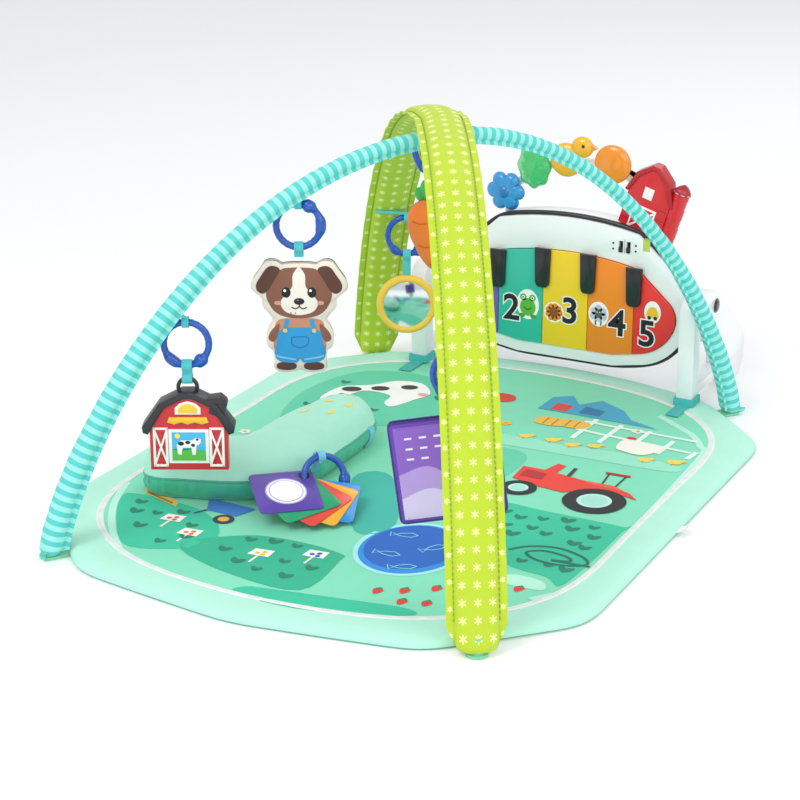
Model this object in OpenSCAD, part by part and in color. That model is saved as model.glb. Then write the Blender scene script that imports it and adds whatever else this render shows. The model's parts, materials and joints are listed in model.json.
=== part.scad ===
// Activity play gym: padded floor mat, two crossed toy arches, hanging toys,
// a tummy pillow with picture cards, and a kick piano on two legs.
// The origin is on the floor under the middle of the mat. +Y runs to the piano, +Z up.

/* [Mat] */
// Half of the mat's width
mat_half_w = 349; // [340:1:355]
// Straight side's nearest and farthest point from the middle
side_reach = [-290, 272]; // [-292:1:274]
// Radius of the mat's corners
mat_corner_r = 34; // [20:1:40]
// Thickness of the padded mat
mat_h = 11; // [9:0.5:12]
// Width of the plain border round the printed panel
border_w = 46; // [40:1:50]

/* [Arches] */
// Foot of each arch leg, half spacing across
foot_x = 271; // [268:1:276]
// Near feet and far feet along the mat
foot_y = [-413, 392]; // [-415:1:394]
// Where the two arches cross
cross_at = [20, 9]; // [0:1:24]
// Height of the lower arch's rod at the crossing
teal_h = 436; // [430:1:440]
// Height of the upper arch's rod at the crossing
green_h = 455; // [452:1:460]
// Width and thickness of the striped sleeve
teal_sleeve_size = [30, 18]; // [14:1:31]
// Width and thickness of the wide sleeve
green_sleeve_size = [64, 16]; // [14:1:66]
// Radius of the arch rod
rod_r = 3.5; // [3:0.1:4]

/* [Toys] */
// Direction that the toys face, turned from the mat's length
toy_turn = 27; // [20:1:35]
// Radius of a link ring to the middle of its bar
ring_r = 26; // [24:0.5:28]
// Radius of a link ring's bar
ring_bar_r = 4; // [3.5:0.1:4.3]
// Clear radius of a webbing loop round a ring
loop_r = 5.4; // [5.1:0.1:5.6]

/* [Pillow and cards] */
// Height of the pillow
pillow_h = 64; // [55:1:70]
// Side of a square picture card
card_w = 78; // [74:1:80]
// Fan angle of each card, top card first
card_fan = [15, 36, 54, 70, 84]; // [0:1:90]

/* [Piano] */
// Middle of the piano across the mat
piano_x = 16; // [10:1:20]
// Half of the piano's width
piano_half_w = 184; // [180:1:188]
// Front face of the piano
piano_y = 416; // [414:1:420]
// Spacing of the keys
key_pitch = 68; // [66:0.5:70]
// Height of the tilting axis
pivot_z = 132; // [128:1:136]
// Distance of the tilting axis along the mat
pivot_y = 441; // [438:1:442]
// Thickness of a piano leg
leg_t = 22; // [18:1:24]

/* [Hidden] */
$fn = 48;
fit = 0.3;
skin = 2;
arch_steps = 20;
feet = [[-foot_x, foot_y[0]], [foot_x, foot_y[0]], [foot_x, foot_y[1]], [-foot_x, foot_y[1]]];
sleeve_low = 27;
plug_top = 24.2;

// ---- arch curve -------------------------------------------------------------
// Point of a half arch: a = 0 at the crossing, 90 at the foot.
function half_point(foot, h, a) = let (u = pow(sin(a), 0.96))
    [cross_at[0] + (foot[0] - cross_at[0]) * u, cross_at[1] + (foot[1] - cross_at[1]) * u,
     h * pow(max(cos(a), 0), 1.504)];
function unit(v) = v / norm(v);
function half_tangent(foot, h, a) = let (e = 1, b = min(a, 88))
    unit(half_point(foot, h, b + e) - half_point(foot, h, max(b - e, 0)));
// Runs from one foot over the crossing to the other.
function angle_at(h, low) = acos(pow(low / h, 1 / 1.504));
function arch_path(near, far, h, low) = let (a = angle_at(h, low) / arch_steps) concat(
    [for (i = [arch_steps : -1 : 0]) half_point(near, h, a * i)],
    [for (i = [1 : arch_steps]) half_point(far, h, a * i)]);
function path_tangent(p, i) = unit(p[min(i + 1, len(p) - 1)] - p[max(i - 1, 0)]);
function oval(size, n) = [for (k = [0 : n - 1]) let (a = 360 * k / n)
    [size[0] / 2 * sign(cos(a)) * pow(abs(cos(a)), 0.75),
     size[1] / 2 * sign(sin(a)) * pow(abs(sin(a)), 0.9)]];
function loop_points(path, side, outline) = [for (i = [0 : len(path) - 1])
    let (t = (i == 0 || i == len(path) - 1) ? [0, 0, i == 0 ? 1 : -1] : path_tangent(path, i),
         n = cross(side, t))
    for (q = outline) path[i] + side * q[0] + n * q[1]];
// A closed tube round a path: outer and inner outline, open down the middle when inner is given.
module sweep(path, side, outer, inner = []) {
    n = len(outer);
    m = len(path);
    base = n * m;
    points = concat(loop_points(path, side, outer),
                    len(inner) > 0 ? loop_points(path, side, inner) : []);
    walls = [for (i = [0 : m - 2], k = [0 : n - 1]) let (j = (k + 1) % n, a = i * n)
        each [[a + k, a + n + k, a + n + j], [a + k, a + n + j, a + j]]];
    bores = len(inner) == 0 ? [] :
        [for (f = walls) [base + f[0], base + f[2], base + f[1]]];
    last = (m - 1) * n;
    ends = len(inner) == 0 ?
        [[for (k = [0 : n - 1]) k], [for (k = [n - 1 : -1 : 0]) last + k]] :
        [for (k = [0 : n - 1]) let (j = (k + 1) % n)
            each [[k, j, base + j], [k, base + j, base + k],
                  [last + j, last + k, base + last + k], [last + j, base + last + k, base + last + j]]];
    polyhedron(points = points, faces = concat(walls, bores, ends), convexity = 6);
}
// Horizontal direction across an arch.
function across(near, far) = let (d = unit([far[0] - near[0], far[1] - near[1], 0])) [d[1], -d[0], 0];
teal_side = across(feet[0], feet[2]);
green_side = across(feet[1], feet[3]);
rod_profile = oval([2 * rod_r, 2 * rod_r], 12);
hole_profile = oval([2 * rod_r + 1.2, 2 * rod_r + 1.2], 12);

// ---- toy hanging points -----------------------------------------------------
// Each hanging place: foot index, arch height, angle on the half arch, ring direction.
hang = [[0, teal_h, 42.8, toy_turn], [0, teal_h, 21.6, toy_turn], [3, green_h, 47, toy_turn],
        [3, green_h, 3.2, toy_turn], [1, green_h, 42.4, toy_turn], [2, teal_h, 43.5, 0]];
// Half thickness of the sleeve, drop of the ring below it, and the ring's and loop's shift across it.
sleeve_drop = [9, 9, 8, 8, 8, 9];
ring_gap = [17, 6.4, 13, 9, 8.5, 8.5];
ring_shift = [0, 0, 20, 0, -8, 0];
root_shift = [0, 0, -22, 0, -8, 0];
function hang_tangent(k) = half_tangent(feet[hang[k][0]], hang[k][1], hang[k][2]);
function hang_side(k) = let (t = hang_tangent(k), s = unit([t[1], -t[0], 0])) s[0] > 0 ? s : -s;
function inward(k) = let (n = cross(hang_side(k), hang_tangent(k))) n[2] > 0 ? -n : n;
function hang_surface(k) = half_point(feet[hang[k][0]], hang[k][1], hang[k][2])
    + inward(k) * sleeve_drop[k];
function ring_top(k) = hang_surface(k) + inward(k) * ring_gap[k] + hang_side(k) * ring_shift[k];
function loop_root(k) = hang_surface(k) + hang_side(k) * root_shift[k];
// Moves its children to the lowest point of ring k's bar, facing the toy's way.
module at_toy(k, turn = toy_turn) {
    translate(ring_top(k) - [0, 0, 2 * ring_r]) rotate([0, 0, turn]) children();
}
module link_ring(k) {
    color("royalblue") translate(ring_top(k) - [0, 0, ring_r]) rotate([90, 0, hang[k][3]])
        ring_shape();
}
module ring_shape() {
    rotate_extrude() translate([ring_r, 0]) circle(ring_bar_r, $fn = 24);
    rotate(-52) translate([ring_r + 1, 0]) sphere(7.5, $fn = 32);
    rotate(-128) translate([ring_r, 0]) sphere(6.2, $fn = 32);
}
// A webbing loop round a ring bar that lies along X, with its tail upwards of the given length.
module webbing_loop(width, tail) {
    difference() {
        union() {
            rotate([0, 90, 0]) cylinder(r = loop_r + 1.2, h = width, center = true);
            if (tail > 0) translate([-width / 2, -1.3, 0]) cube([width, 2.6, tail]);
            if (tail < 0) translate([-width / 2, -1.3, tail]) cube([width, 2.6, -tail]);
        }
        rotate([0, 90, 0]) cylinder(r = loop_r, h = width + 2, center = true);
    }
}

// ---- mat --------------------------------------------------------------------
module mat_outline(inset = 0) {
    r = mat_corner_r - 8;
    offset(delta = -inset) hull() {
        for (s = [-1, 1]) {
            for (y = side_reach) translate([s * (mat_half_w - r), y]) circle(r, $fn = 32);
            translate([s * 205, -412]) circle(r, $fn = 32);
            translate([s * 220, 376]) circle(r, $fn = 32);
            translate([s * 110, -428]) circle(r, $fn = 32);
            translate([s * 110, 406]) circle(r, $fn = 32);
        }
        translate([0, -444]) circle(r, $fn = 32);
        translate([0, 416]) circle(r, $fn = 32);
    }
}
module mat_backing() {
    color("aquamarine") linear_extrude(skin) mat_outline();
}
module mat_wadding() {
    color("white") translate([0, 0, skin]) linear_extrude(mat_h - skin - 2) mat_outline(8);
}
module mat_border() {
    color("paleturquoise") {
        translate([0, 0, mat_h - 2]) linear_extrude(2) difference() {
            mat_outline(0);
            mat_outline(border_w);
        }
        translate([0, 0, skin]) linear_extrude(mat_h - 2 - skin) difference() {
            mat_outline(0);
            mat_outline(8);
        }
    }
}
module mat_print_panel() {
    color("mediumseagreen") translate([0, 0, mat_h - 2]) linear_extrude(2) mat_outline(border_w);
}
module mat_piping() {
    color("white") translate([0, 0, mat_h]) linear_extrude(1) difference() {
        mat_outline(border_w - 3);
        mat_outline(border_w + 3);
    }
}
socket_r = 9;
plug_r = 6;
plate_h = 3;
// Each socket stands on a plate whose tongue is stitched to the mat's corner.
module corner_sockets() {
    color("dimgray") for (f = feet) {
        difference() {
            union() {
                translate([f[0], f[1], 0]) cylinder(r = 12, h = plate_h);
                translate([f[0], f[1], 0]) rotate([0, 0, atan2(-f[1], -f[0])])
                    translate([0, -11, 0]) cube([50, 22, plate_h]);
            }
            translate([0, 0, -1]) linear_extrude(plate_h + 2) mat_outline();
        }
        translate([f[0], f[1], plate_h]) difference() {
            cylinder(r = socket_r, h = 19);
            translate([0, 0, 1]) cylinder(r = plug_r + 0.05, h = 19);
        }
    }
}
leg_gap = 5;
leg_x = [piano_x - piano_half_w - leg_gap - leg_t, piano_x + piano_half_w + leg_gap];
post_y = 357;
post_d = 24;
module leg_straps() {
    color("mediumturquoise") for (k = [0, 1]) {
        s = k == 0 ? -1 : 1;
        translate([leg_x[k], post_y, mat_h + 1.2]) {
            difference() {
                translate([-3, -3, 0]) cube([leg_t + 6, post_d + 6, 10.5]);
                translate([-fit, -fit, -1]) cube([leg_t + 2 * fit, post_d + 2 * fit, 13]);
            }
            translate([leg_t / 2 - 9, -45, 0]) cube([18, 42.3, 1.6]);
        }
    }
}

// ---- piano legs -------------------------------------------------------------
module leg_side() {
    intersection() {
        union() {
            translate([post_y, 0]) square([post_d, 140]);
            difference() {
                union() {
                    hull() {
                        translate([post_y + 20, 138]) circle(20, $fn = 32);
                        translate([pivot_y, pivot_z - 12]) circle(32, $fn = 32);
                    }
                    hull() {
                        translate([pivot_y, pivot_z - 12]) circle(32, $fn = 32);
                        translate([534, 34]) circle(40, $fn = 32);
                    }
                    translate([post_y + post_d / 2, 24]) square([150, 12]);
                }
                hull() {
                    translate([post_y + post_d + 6, 84]) circle(5, $fn = 32);
                    translate([post_y + post_d + 6, 44]) circle(5, $fn = 32);
                    translate([470, 44]) circle(5, $fn = 32);
                    translate([452, 70]) circle(5, $fn = 32);
                }
            }
        }
        translate([300, 0]) square([400, 300]);
    }
}
stub_r = 10;
module piano_legs() {
    color("white") for (x = leg_x) difference() {
        translate([x, 0, 0]) rotate([90, 0, 90]) union() {
            linear_extrude(leg_t) difference() {
                leg_side();
                translate([post_y - 5, -1]) square([post_d + 30, mat_h + 1.2 + fit + 1]);
            }
        }
        translate([x - 1, pivot_y, pivot_z]) rotate([0, 90, 0])
            cylinder(r = stub_r + 0.05, h = leg_t + 2);
    }
}
button_r = 9.9;
module release_button(x, s) {
    color("black") translate([x, pivot_y, pivot_z]) rotate([0, s * 90, 0]) {
        cylinder(r = button_r, h = 9);
        translate([0, 0, 9]) cylinder(r = 7.5, h = 1.5);
    }
}
module release_button_left() { release_button(leg_x[0] + 8, -1); }
module release_button_right() { release_button(leg_x[1] + leg_t - 8, 1); }

// ---- arches -----------------------------------------------------------------
module arch_rods() {
    color("gainsboro") {
        sweep(arch_path(feet[0], feet[2], teal_h, plug_top), teal_side, rod_profile);
        sweep(arch_path(feet[1], feet[3], green_h, plug_top), green_side, rod_profile);
    }
}
// The cloth foot of a sleeve, hollow round the socket's collar.
module sleeve_foot(f, side, size) {
    translate([f[0], f[1], plate_h + fit]) rotate([0, 0, atan2(side[1], side[0])]) difference() {
        hull() for (s = [-1, 1]) translate([s * (size[0] - size[1]) / 2, 0, 0])
            cylinder(d = size[1], h = sleeve_low - plate_h - 2 * fit);
        translate([0, 0, -1]) cylinder(r = socket_r + 1.4, h = 40);
    }
}
module green_sleeve() {
    color("yellowgreen") sweep(arch_path(feet[1], feet[3], green_h, sleeve_low), green_side,
                               oval(green_sleeve_size, 12), hole_profile);
}
module teal_sleeve() {
    color("mediumturquoise") sweep(arch_path(feet[0], feet[2], teal_h, sleeve_low), teal_side,
                                   oval(teal_sleeve_size, 12), hole_profile);
}
module sleeve_feet() {
    color("yellowgreen") for (k = [1, 3]) sleeve_foot(feet[k], green_side, [green_sleeve_size[0], 24]);
    color("mediumturquoise") for (k = [0, 2]) sleeve_foot(feet[k], teal_side, [teal_sleeve_size[0], 25]);
}
// The plugs on the rods' ends, and the press stud between the sleeves where they cross.
module arch_fittings() {
    color("gray") {
        for (f = feet) translate([f[0], f[1], 4.2]) cylinder(r = plug_r, h = plug_top - 4.2);
        translate([cross_at[0], cross_at[1], teal_h + teal_sleeve_size[1] / 2 + 0.4])
            cylinder(r = 9, h = green_h - teal_h - (teal_sleeve_size[1] + green_sleeve_size[1]) / 2 - 0.9);
    }
}
// A webbing loop round each ring's bar, with its tail up to the sleeve. The spare one is sewn flat.
spare = 5;
module sleeve_loops() {
    color("turquoise") for (k = [0 : len(hang) - 1]) {
        start = ring_top(k) + [0, 0, loop_r + 0.7];
        d = loop_root(k) - start;
        lean = atan2(norm([d[0], d[1]]), d[2]);
        aim = atan2(d[1], d[0]);
        translate(ring_top(k)) rotate([0, 0, hang[k][3]])
            if (k < spare) webbing_loop(8, 0);
            else translate([-4.5, -1.3, -9]) cube([9, 2.6, 9 + loop_r + 1]);
        if (norm(d) > 3 && d[2] > -1) translate(start) rotate([0, 0, aim]) rotate([0, lean, 0])
            translate([-1.3, -4.5, 0]) cube([2.6, 9, norm(d) - 0.1]);
    }
}

// ---- toys -------------------------------------------------------------------
barn_w = 91;
barn_t = 20;
barn_low = -127;
barn_eave = -77;
barn_loop_z = -27;
module barn_front(grow = 0) {
    half = barn_w / 2 + grow;
    polygon([[-half, barn_low], [half, barn_low], [half, barn_eave], [half * 0.62, barn_eave + 27],
             [half * 0.1, barn_eave + 40 + grow], [-half * 0.1, barn_eave + 40 + grow],
             [-half * 0.62, barn_eave + 27], [-half, barn_eave]]);
}
module barn_ring() { link_ring(0); }
module barn_strap() {
    color("turquoise") at_toy(0) {
        webbing_loop(12, -10);
        translate([0, 0, barn_loop_z + 11]) webbing_loop(12, 0);
    }
}
module barn_body() {
    color("crimson") at_toy(0) difference() {
        translate([0, barn_t / 2, 0]) rotate([90, 0, 0]) linear_extrude(barn_t) barn_front();
        translate([-20.2, -barn_t / 2 - 1, -115.2]) cube([40.4, 3, 36.4]);
    }
}
module barn_roof() {
    color("black") at_toy(0) {
        translate([0, barn_t / 2 + 2, 0]) rotate([90, 0, 0]) linear_extrude(barn_t + 4) difference() {
            intersection() {
                offset(delta = 6) barn_front();
                translate([-70, barn_eave - 4]) square([140, 60]);
            }
            offset(delta = 0.05) barn_front(0);
            translate([-barn_w / 2, barn_eave - 9]) square([barn_w, 8]);
        }
        intersection() {
            translate([0, 0, barn_loop_z]) rotate([90, 0, 0])
                rotate_extrude() translate([11, 0]) circle(2.4, $fn = 24);
            translate([-20, -5, barn_eave + 41.5]) cube([40, 10, 30]);
        }
    }
}
module barn_picture() {
    color("deepskyblue") at_toy(0)
        translate([-20, -barn_t / 2 + 0.2, -115]) cube([40, 1.8, 36]);
}
module barn_trim() {
    color("gold") at_toy(0) translate([-22, -barn_t / 2 - 1.5, -68]) cube([44, 1.5, 8]);
}
module puppy_ring() { link_ring(1); }
module puppy_strap() { color("turquoise") at_toy(1) webbing_loop(11, -12); }
puppy_low = -152;
module puppy_plush() {
    color("saddlebrown") at_toy(1) hull() {
        translate([0, 0, -56]) rotate([90, 0, 0]) cylinder(r = 41, h = 24, center = true, $fn = 32);
        translate([0, 0, -112]) rotate([90, 0, 0]) cylinder(r = 34, h = 24, center = true, $fn = 32);
        translate([-27, -12, puppy_low]) cube([54, 24, 8]);
    }
}
module mirror_ring() { link_ring(2); }
mirror_z = -72;
mirror_r = 42;
module mirror_strap() {
    color("turquoise") at_toy(2) webbing_loop(11, mirror_z + mirror_r + 0.2);
}
module mirror_frame() {
    color("gold") at_toy(2) translate([0, 0, mirror_z]) rotate([90, 0, 0]) difference() {
        cylinder(r = mirror_r, h = 14, center = true);
        translate([0, 0, 2]) cylinder(r = mirror_r - 9, h = 8);
    }
}
module mirror_disc() {
    color("silver") at_toy(2) translate([0, 0, mirror_z]) rotate([90, 0, 0]) translate([0, 0, 2.2])
        cylinder(r = mirror_r - 9.3, h = 3);
}
module carrot_ring() { link_ring(3); }
carrot_top_z = -40;
carrot_low = -126;
module carrot_top() {
    color("limegreen") at_toy(3) {
        webbing_loop(11, -16);
        translate([0, 0, carrot_top_z]) cylinder(r1 = 20, r2 = 25, h = 24.8);
    }
}
module carrot_root() {
    color("orange") at_toy(3) difference() {
        hull() {
            translate([0, 0, carrot_top_z - 22]) scale([1, 0.6, 0.75]) sphere(34, $fn = 32);
            translate([0, 0, carrot_low + 9]) scale([1, 0.8, 1]) sphere(9, $fn = 32);
        }
        translate([-40, -40, carrot_top_z - 0.2]) cube([80, 80, 40]);
    }
}
module book_ring() { link_ring(4); }
book_size = [118, 118];
book_left = -79;
book_top = -21;
book_tilt = -7.5;
front_t = 7;
back_t = 4.4;
module book_front() {
    color("rebeccapurple") at_toy(4) {
        webbing_loop(11, -24);
        rotate([0, book_tilt, 0]) translate([book_left, -front_t, book_top - book_size[1]])
            cube([book_size[0], front_t, book_size[1]]);
    }
}
module book_back() {
    color("mediumpurple") at_toy(4) rotate([0, book_tilt, 0])
        translate([book_left, 0.4, book_top - book_size[1]]) difference() {
            cube([book_size[0], back_t, book_size[1]]);
            translate([-book_left - 16, -1, book_size[1] - 8]) cube([24, 3.6, 20]);
        }
}

// ---- pillow and cards -------------------------------------------------------
pillow_spots = [[-236, -191, 43], [-153, -139, 56], [-141, -40, 56], [-134, 32, 46]];
pillow_base = mat_h + 1.4;
module pillow() {
    color("mediumaquamarine") translate([0, 0, pillow_base]) linear_extrude(pillow_h) union() {
        for (i = [0 : len(pillow_spots) - 2]) hull() for (p = [pillow_spots[i], pillow_spots[i + 1]])
            translate([p[0], p[1]]) circle(p[2], $fn = 32);
    }
}
card_lean = 25;
card_ring_turn = 52;
side_dir = [cos(card_ring_turn), sin(card_ring_turn), 0];
back_dir = [-sin(card_ring_turn), cos(card_ring_turn), 0];
lean_up = back_dir * sin(card_lean) + [0, 0, cos(card_lean)];
card_ring_low = [-50, -152, mat_h + 5.4];
card_ring_mid = card_ring_low + lean_up * ring_r;
card_ring_high = card_ring_low + lean_up * 2 * ring_r;
module card_ring() {
    color("royalblue") translate(card_ring_mid) rotate([0, 0, card_ring_turn])
        rotate([90 - card_lean, 0, 0]) {
        rotate_extrude() translate([ring_r, 0]) circle(ring_bar_r, $fn = 24);
        rotate(-15) translate([ring_r + 1, 0]) sphere(7, $fn = 32);
    }
}
module pillow_loops() {
    color("skyblue") {
        translate(card_ring_high) rotate([0, 0, card_ring_turn]) webbing_loop(9, 0);
        translate(card_ring_high) rotate([0, 0, 90 + card_ring_turn]) translate([loop_r + 0.6, -4.5, -1.3])
            cube([28, 9, 2.6]);
        for (p = [[-139.8, -194.5, 24.5], [-87.9, 30, 92.4]]) translate([p[0], p[1], pillow_base + 8])
            rotate([0, 0, p[2]]) translate([-6, -2, 0]) cube([12, 1.8, 28]);
    }
}
card_t = 1.2;
card_step = 1.9;
card_hole_r = 7;
card_edge = 11;
card_slope = 14;
card_slope_dir = -45;
card_base_z = 37.5;
function card_z(i) = card_base_z + (4 - i) * card_step;
function card_drop(i) = asin((card_ring_mid[2] - card_z(i)) / (ring_r * cos(card_lean)));
function card_spot(i) = card_ring_mid - side_dir * ring_r * cos(card_drop(i))
    - lean_up * ring_r * sin(card_drop(i));
module card(i) {
    translate(card_spot(i)) rotate([0, 0, card_slope_dir]) rotate([0, card_slope, 0])
        rotate([0, 0, toy_turn - card_slope_dir + card_fan[i]]) difference() {
            translate([card_edge - card_w, card_edge - card_w, -card_t / 2]) round_plate(card_w, card_w, 7, card_t);
            translate([0, 0, -card_t]) cylinder(r = card_hole_r, h = 2 * card_t);
        }
}
module round_plate(w, d, r, t) {
    union() {
        translate([r, 0, 0]) cube([w - 2 * r, d, t]);
        translate([0, r, 0]) cube([w, d - 2 * r, t]);
        for (x = [r, w - r], y = [r, d - r]) translate([x, y, 0]) cylinder(r = r, h = t);
    }
}
module card_purple() { color("indigo") card(0); }
module card_green() { color("seagreen") card(1); }
module card_red() { color("tomato") card(2); }
module card_yellow() { color("orange") card(3); }
module card_blue() { color("dodgerblue") card(4); }

// ---- piano ------------------------------------------------------------------
piano_low = 28;
end_r = 84;
crown_z = 238;
module piano_outline(inset = 0) {
    hull() {
        for (s = [-1, 1]) translate([s * (piano_half_w - end_r), piano_low + end_r + 6])
            circle(end_r - inset, $fn = 64);
        for (s = [-1, 1]) translate([s * 70, piano_low + 40]) circle(40 - inset, $fn = 64);
        for (x = [-100 : 25 : 100]) translate([x, crown_z - 12 - x * x / 900])
            circle(12 - min(inset, 11.5), $fn = 32);
    }
}
// Stands a drawing in X and Z up at distance y, with its thickness to the back.
module standing(y, t) {
    translate([piano_x, y + t, 0]) rotate([90, 0, 0]) linear_extrude(t) children();
}
key_top = 188;
// The keys' field: its top edge follows the crown.
module key_field(inset = 0) {
    offset(r = 34) offset(r = -34) intersection() {
        piano_outline(19 + inset);
        translate([0, key_top - crown_z]) piano_outline(inset);
    }
}
bezel_t = 8;
switch_x = [79, 90];
switch_z = 196;
module piano_bezel() {
    color("whitesmoke") standing(piano_y, bezel_t) difference() {
        piano_outline(3);
        key_field(0);
        for (x = switch_x) translate([x - 3, switch_z]) square([6, 16]);
    }
}
module piano_rim() {
    color("black") standing(piano_y + bezel_t, 6) difference() {
        piano_outline(0);
        piano_outline(9);
    }
}
housing_t = 40;
housing_y = piano_y + bezel_t + 6;
wall = 3;
bay_w = 76;
bay_h = 62;
bay_z = 86;
module piano_housing() {
    color("whitesmoke") {
        difference() {
            standing(housing_y, housing_t) piano_outline(3);
            standing(housing_y - 1, housing_t - wall + 1) difference() {
                piano_outline(3 + wall);
                translate([-bay_w / 2 - wall, bay_z - wall]) square([bay_w + 2 * wall, bay_h + 2 * wall]);
            }
            standing(housing_y - 1, housing_t - 20) translate([-60, bay_z - 10]) square([120, bay_h + 20]);
            standing(housing_y + housing_t - 17, 18) translate([-bay_w / 2, bay_z]) square([bay_w, bay_h]);
            for (a = [0 : 45 : 315]) translate([piano_x - 95 + 12 * cos(a), housing_y + housing_t - 4, 128 + 12 * sin(a)])
                rotate([-90, 0, 0]) cylinder(r = 3, h = 6);
        }
        for (s = [-1, 1]) translate([piano_x + s * (piano_half_w - 6), pivot_y, pivot_z])
            rotate([0, s * 90, 0]) {
                cylinder(r = stub_r - 2.2, h = 8);
                translate([0, 0, 7]) cylinder(r = stub_r, h = leg_gap + leg_t - 12.5);
            }
        light_arm();
    }
}
// Bent arm that carries the light caps over the piano.
arm_points = [[-100, 218], [-101, 256], [-60, 294], [-10, 308], [56, 310], [88, 288]];
arm_y = piano_y + 26;
barn_lean = 17;
module light_arm() {
    for (i = [0 : len(arm_points) - 2]) hull() for (p = [arm_points[i], arm_points[i + 1]])
        translate([piano_x + p[0], arm_y + 6, p[1]]) rotate([90, 0, 0]) cylinder(r = 5, h = 8, $fn = 32);
    translate([piano_x + 92, arm_y, 229]) rotate([0, barn_lean, 0]) barn_box();
}
// Small barn with its silo, standing on the crown.
module barn_box() {
    translate([0, 14, 0]) rotate([90, 0, 0]) linear_extrude(16) polygon([[-27, -12], [34, -12], [34, 48],
        [22, 70], [4, 83], [-4, 83], [-19, 70], [-27, 48]]);
    translate([43, 6, -5]) {
        cylinder(r = 10, h = 72);
        translate([0, 0, 72]) cylinder(r1 = 12, r2 = 2, h = 11);
    }
}
module light_caps() {
    color("deepskyblue") standing(arm_y - 16, 13.8) difference() {
        translate([-102, 257]) union() {
            circle(20);
            for (a = [0 : 60 : 300]) rotate(a) translate([18, 0]) circle(11.5);
        }
        piano_outline(-0.6);
    }
    color("limegreen") translate([piano_x - 60, arm_y - 2.2, 297]) rotate([90, 0, 0]) scale([0.9, 1.15, 1])
        cylinder(r1 = 28, r2 = 12, h = 13, $fn = 8);
    color("gold") standing(arm_y - 16, 13.8) {
        translate([-11, 312]) circle(24);
        translate([12, 332]) circle(16);
    }
    color("orange") standing(arm_y - 16, 13.8) translate([57, 313]) circle(27);
}
key_t = 5;
key_front = piano_y - 3;
key_gap = 0.8;
key_edges = [-piano_half_w, -1.5 * key_pitch, -0.5 * key_pitch, 0.5 * key_pitch, 1.5 * key_pitch, piano_half_w];
module key(k) {
    standing(key_front, key_t) intersection() {
        key_field(key_gap);
        translate([key_edges[k - 1] + 0.4, 0]) square([key_edges[k] - key_edges[k - 1] - 0.8, 300]);
    }
}
module key_1() { color("mediumpurple") key(1); }
module key_2() { color("lightseagreen") key(2); }
module key_3() { color("gold") key(3); }
module key_4() { color("orange") key(4); }
module key_5() { color("orangered") key(5); }
black_w = 21;
black_low = 130;
function black_top(k) = key_top - pow(key_edges[k], 2) / 900 + 7;
module black_keys() {
    color("black") for (k = [1 : 4]) translate([piano_x + key_edges[k] - black_w / 2, 0, 0]) {
        translate([0, piano_y - 8, black_low - pow(key_edges[k], 2) / 900])
            cube([black_w, 4.4, black_top(k) - black_low + pow(key_edges[k], 2) / 900]);
        translate([0, piano_y - 3.6, black_top(k) - 2.6]) cube([black_w, 3.6, 2.6]);
    }
}
module key_contacts() {
    color("lightgray") standing(housing_y - 2.2, 1.8) difference() {
        piano_outline(20);
        translate([-200, 84]) square([400, 200]);
    }
}
module circuit_board() {
    color("darkgreen") standing(housing_y + 0.2, 1.6) translate([-50, 54]) square([100, 24]);
}
module speaker() {
    color("dimgray") translate([piano_x - 95, housing_y + housing_t - wall - 0.2, 128])
        rotate([90, 0, 0]) cylinder(r1 = 25, r2 = 16, h = 18);
}
module batteries() {
    color("silver") for (i = [-1 : 1]) translate([piano_x - 25, housing_y + housing_t - 9.2, bay_z + bay_h / 2 + i * 16])
        rotate([0, 90, 0]) cylinder(r = 7.2, h = 50);
}
module battery_door() {
    color("white") standing(housing_y + housing_t - 1.6, 1.6)
        translate([-bay_w / 2 + 0.2, bay_z + 0.2]) square([bay_w - 0.4, bay_h - 0.4]);
}
module slide_switch(k) {
    color("black") translate([piano_x + switch_x[k] - 2.6, piano_y - 2.5, switch_z + 0.6]) {
        cube([5.2, 9, 7]);
        translate([-2, 11, -2]) cube([9.2, 2, 11]);
        translate([0, 9, 0]) cube([5.2, 2, 7]);
    }
}
module mode_switch() { slide_switch(0); }
module volume_switch() { slide_switch(1); }

mat_backing();
mat_wadding();
mat_border();
mat_print_panel();
mat_piping();
corner_sockets();
leg_straps();
piano_legs();
arch_rods();
green_sleeve();
teal_sleeve();
arch_fittings();
sleeve_feet();
sleeve_loops();
barn_ring();
barn_strap();
barn_body();
barn_roof();
barn_picture();
barn_trim();
puppy_ring();
puppy_strap();
puppy_plush();
mirror_ring();
mirror_frame();
mirror_disc();
mirror_strap();
carrot_ring();
carrot_root();
carrot_top();
book_ring();
book_back();
book_front();
pillow();
pillow_loops();
card_ring();
card_purple();
card_green();
card_red();
card_yellow();
card_blue();
piano_housing();
piano_bezel();
piano_rim();
black_keys();
key_1();
key_2();
key_3();
key_4();
key_5();
key_contacts();
circuit_board();
speaker();
batteries();
battery_door();
mode_switch();
volume_switch();
light_caps();
release_button_left();
release_button_right();
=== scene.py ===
"""Activity play gym: printed padded mat, two cloth arches, link toys, pillow with cards, kick piano.

Lengths are in millimetres in the drawings and become metres when a mesh is made.
"""

import json
import math

import bmesh
import bpy
import numpy as np
from mathutils import Matrix, Vector, noise
from mathutils.bvhtree import BVHTree

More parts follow.
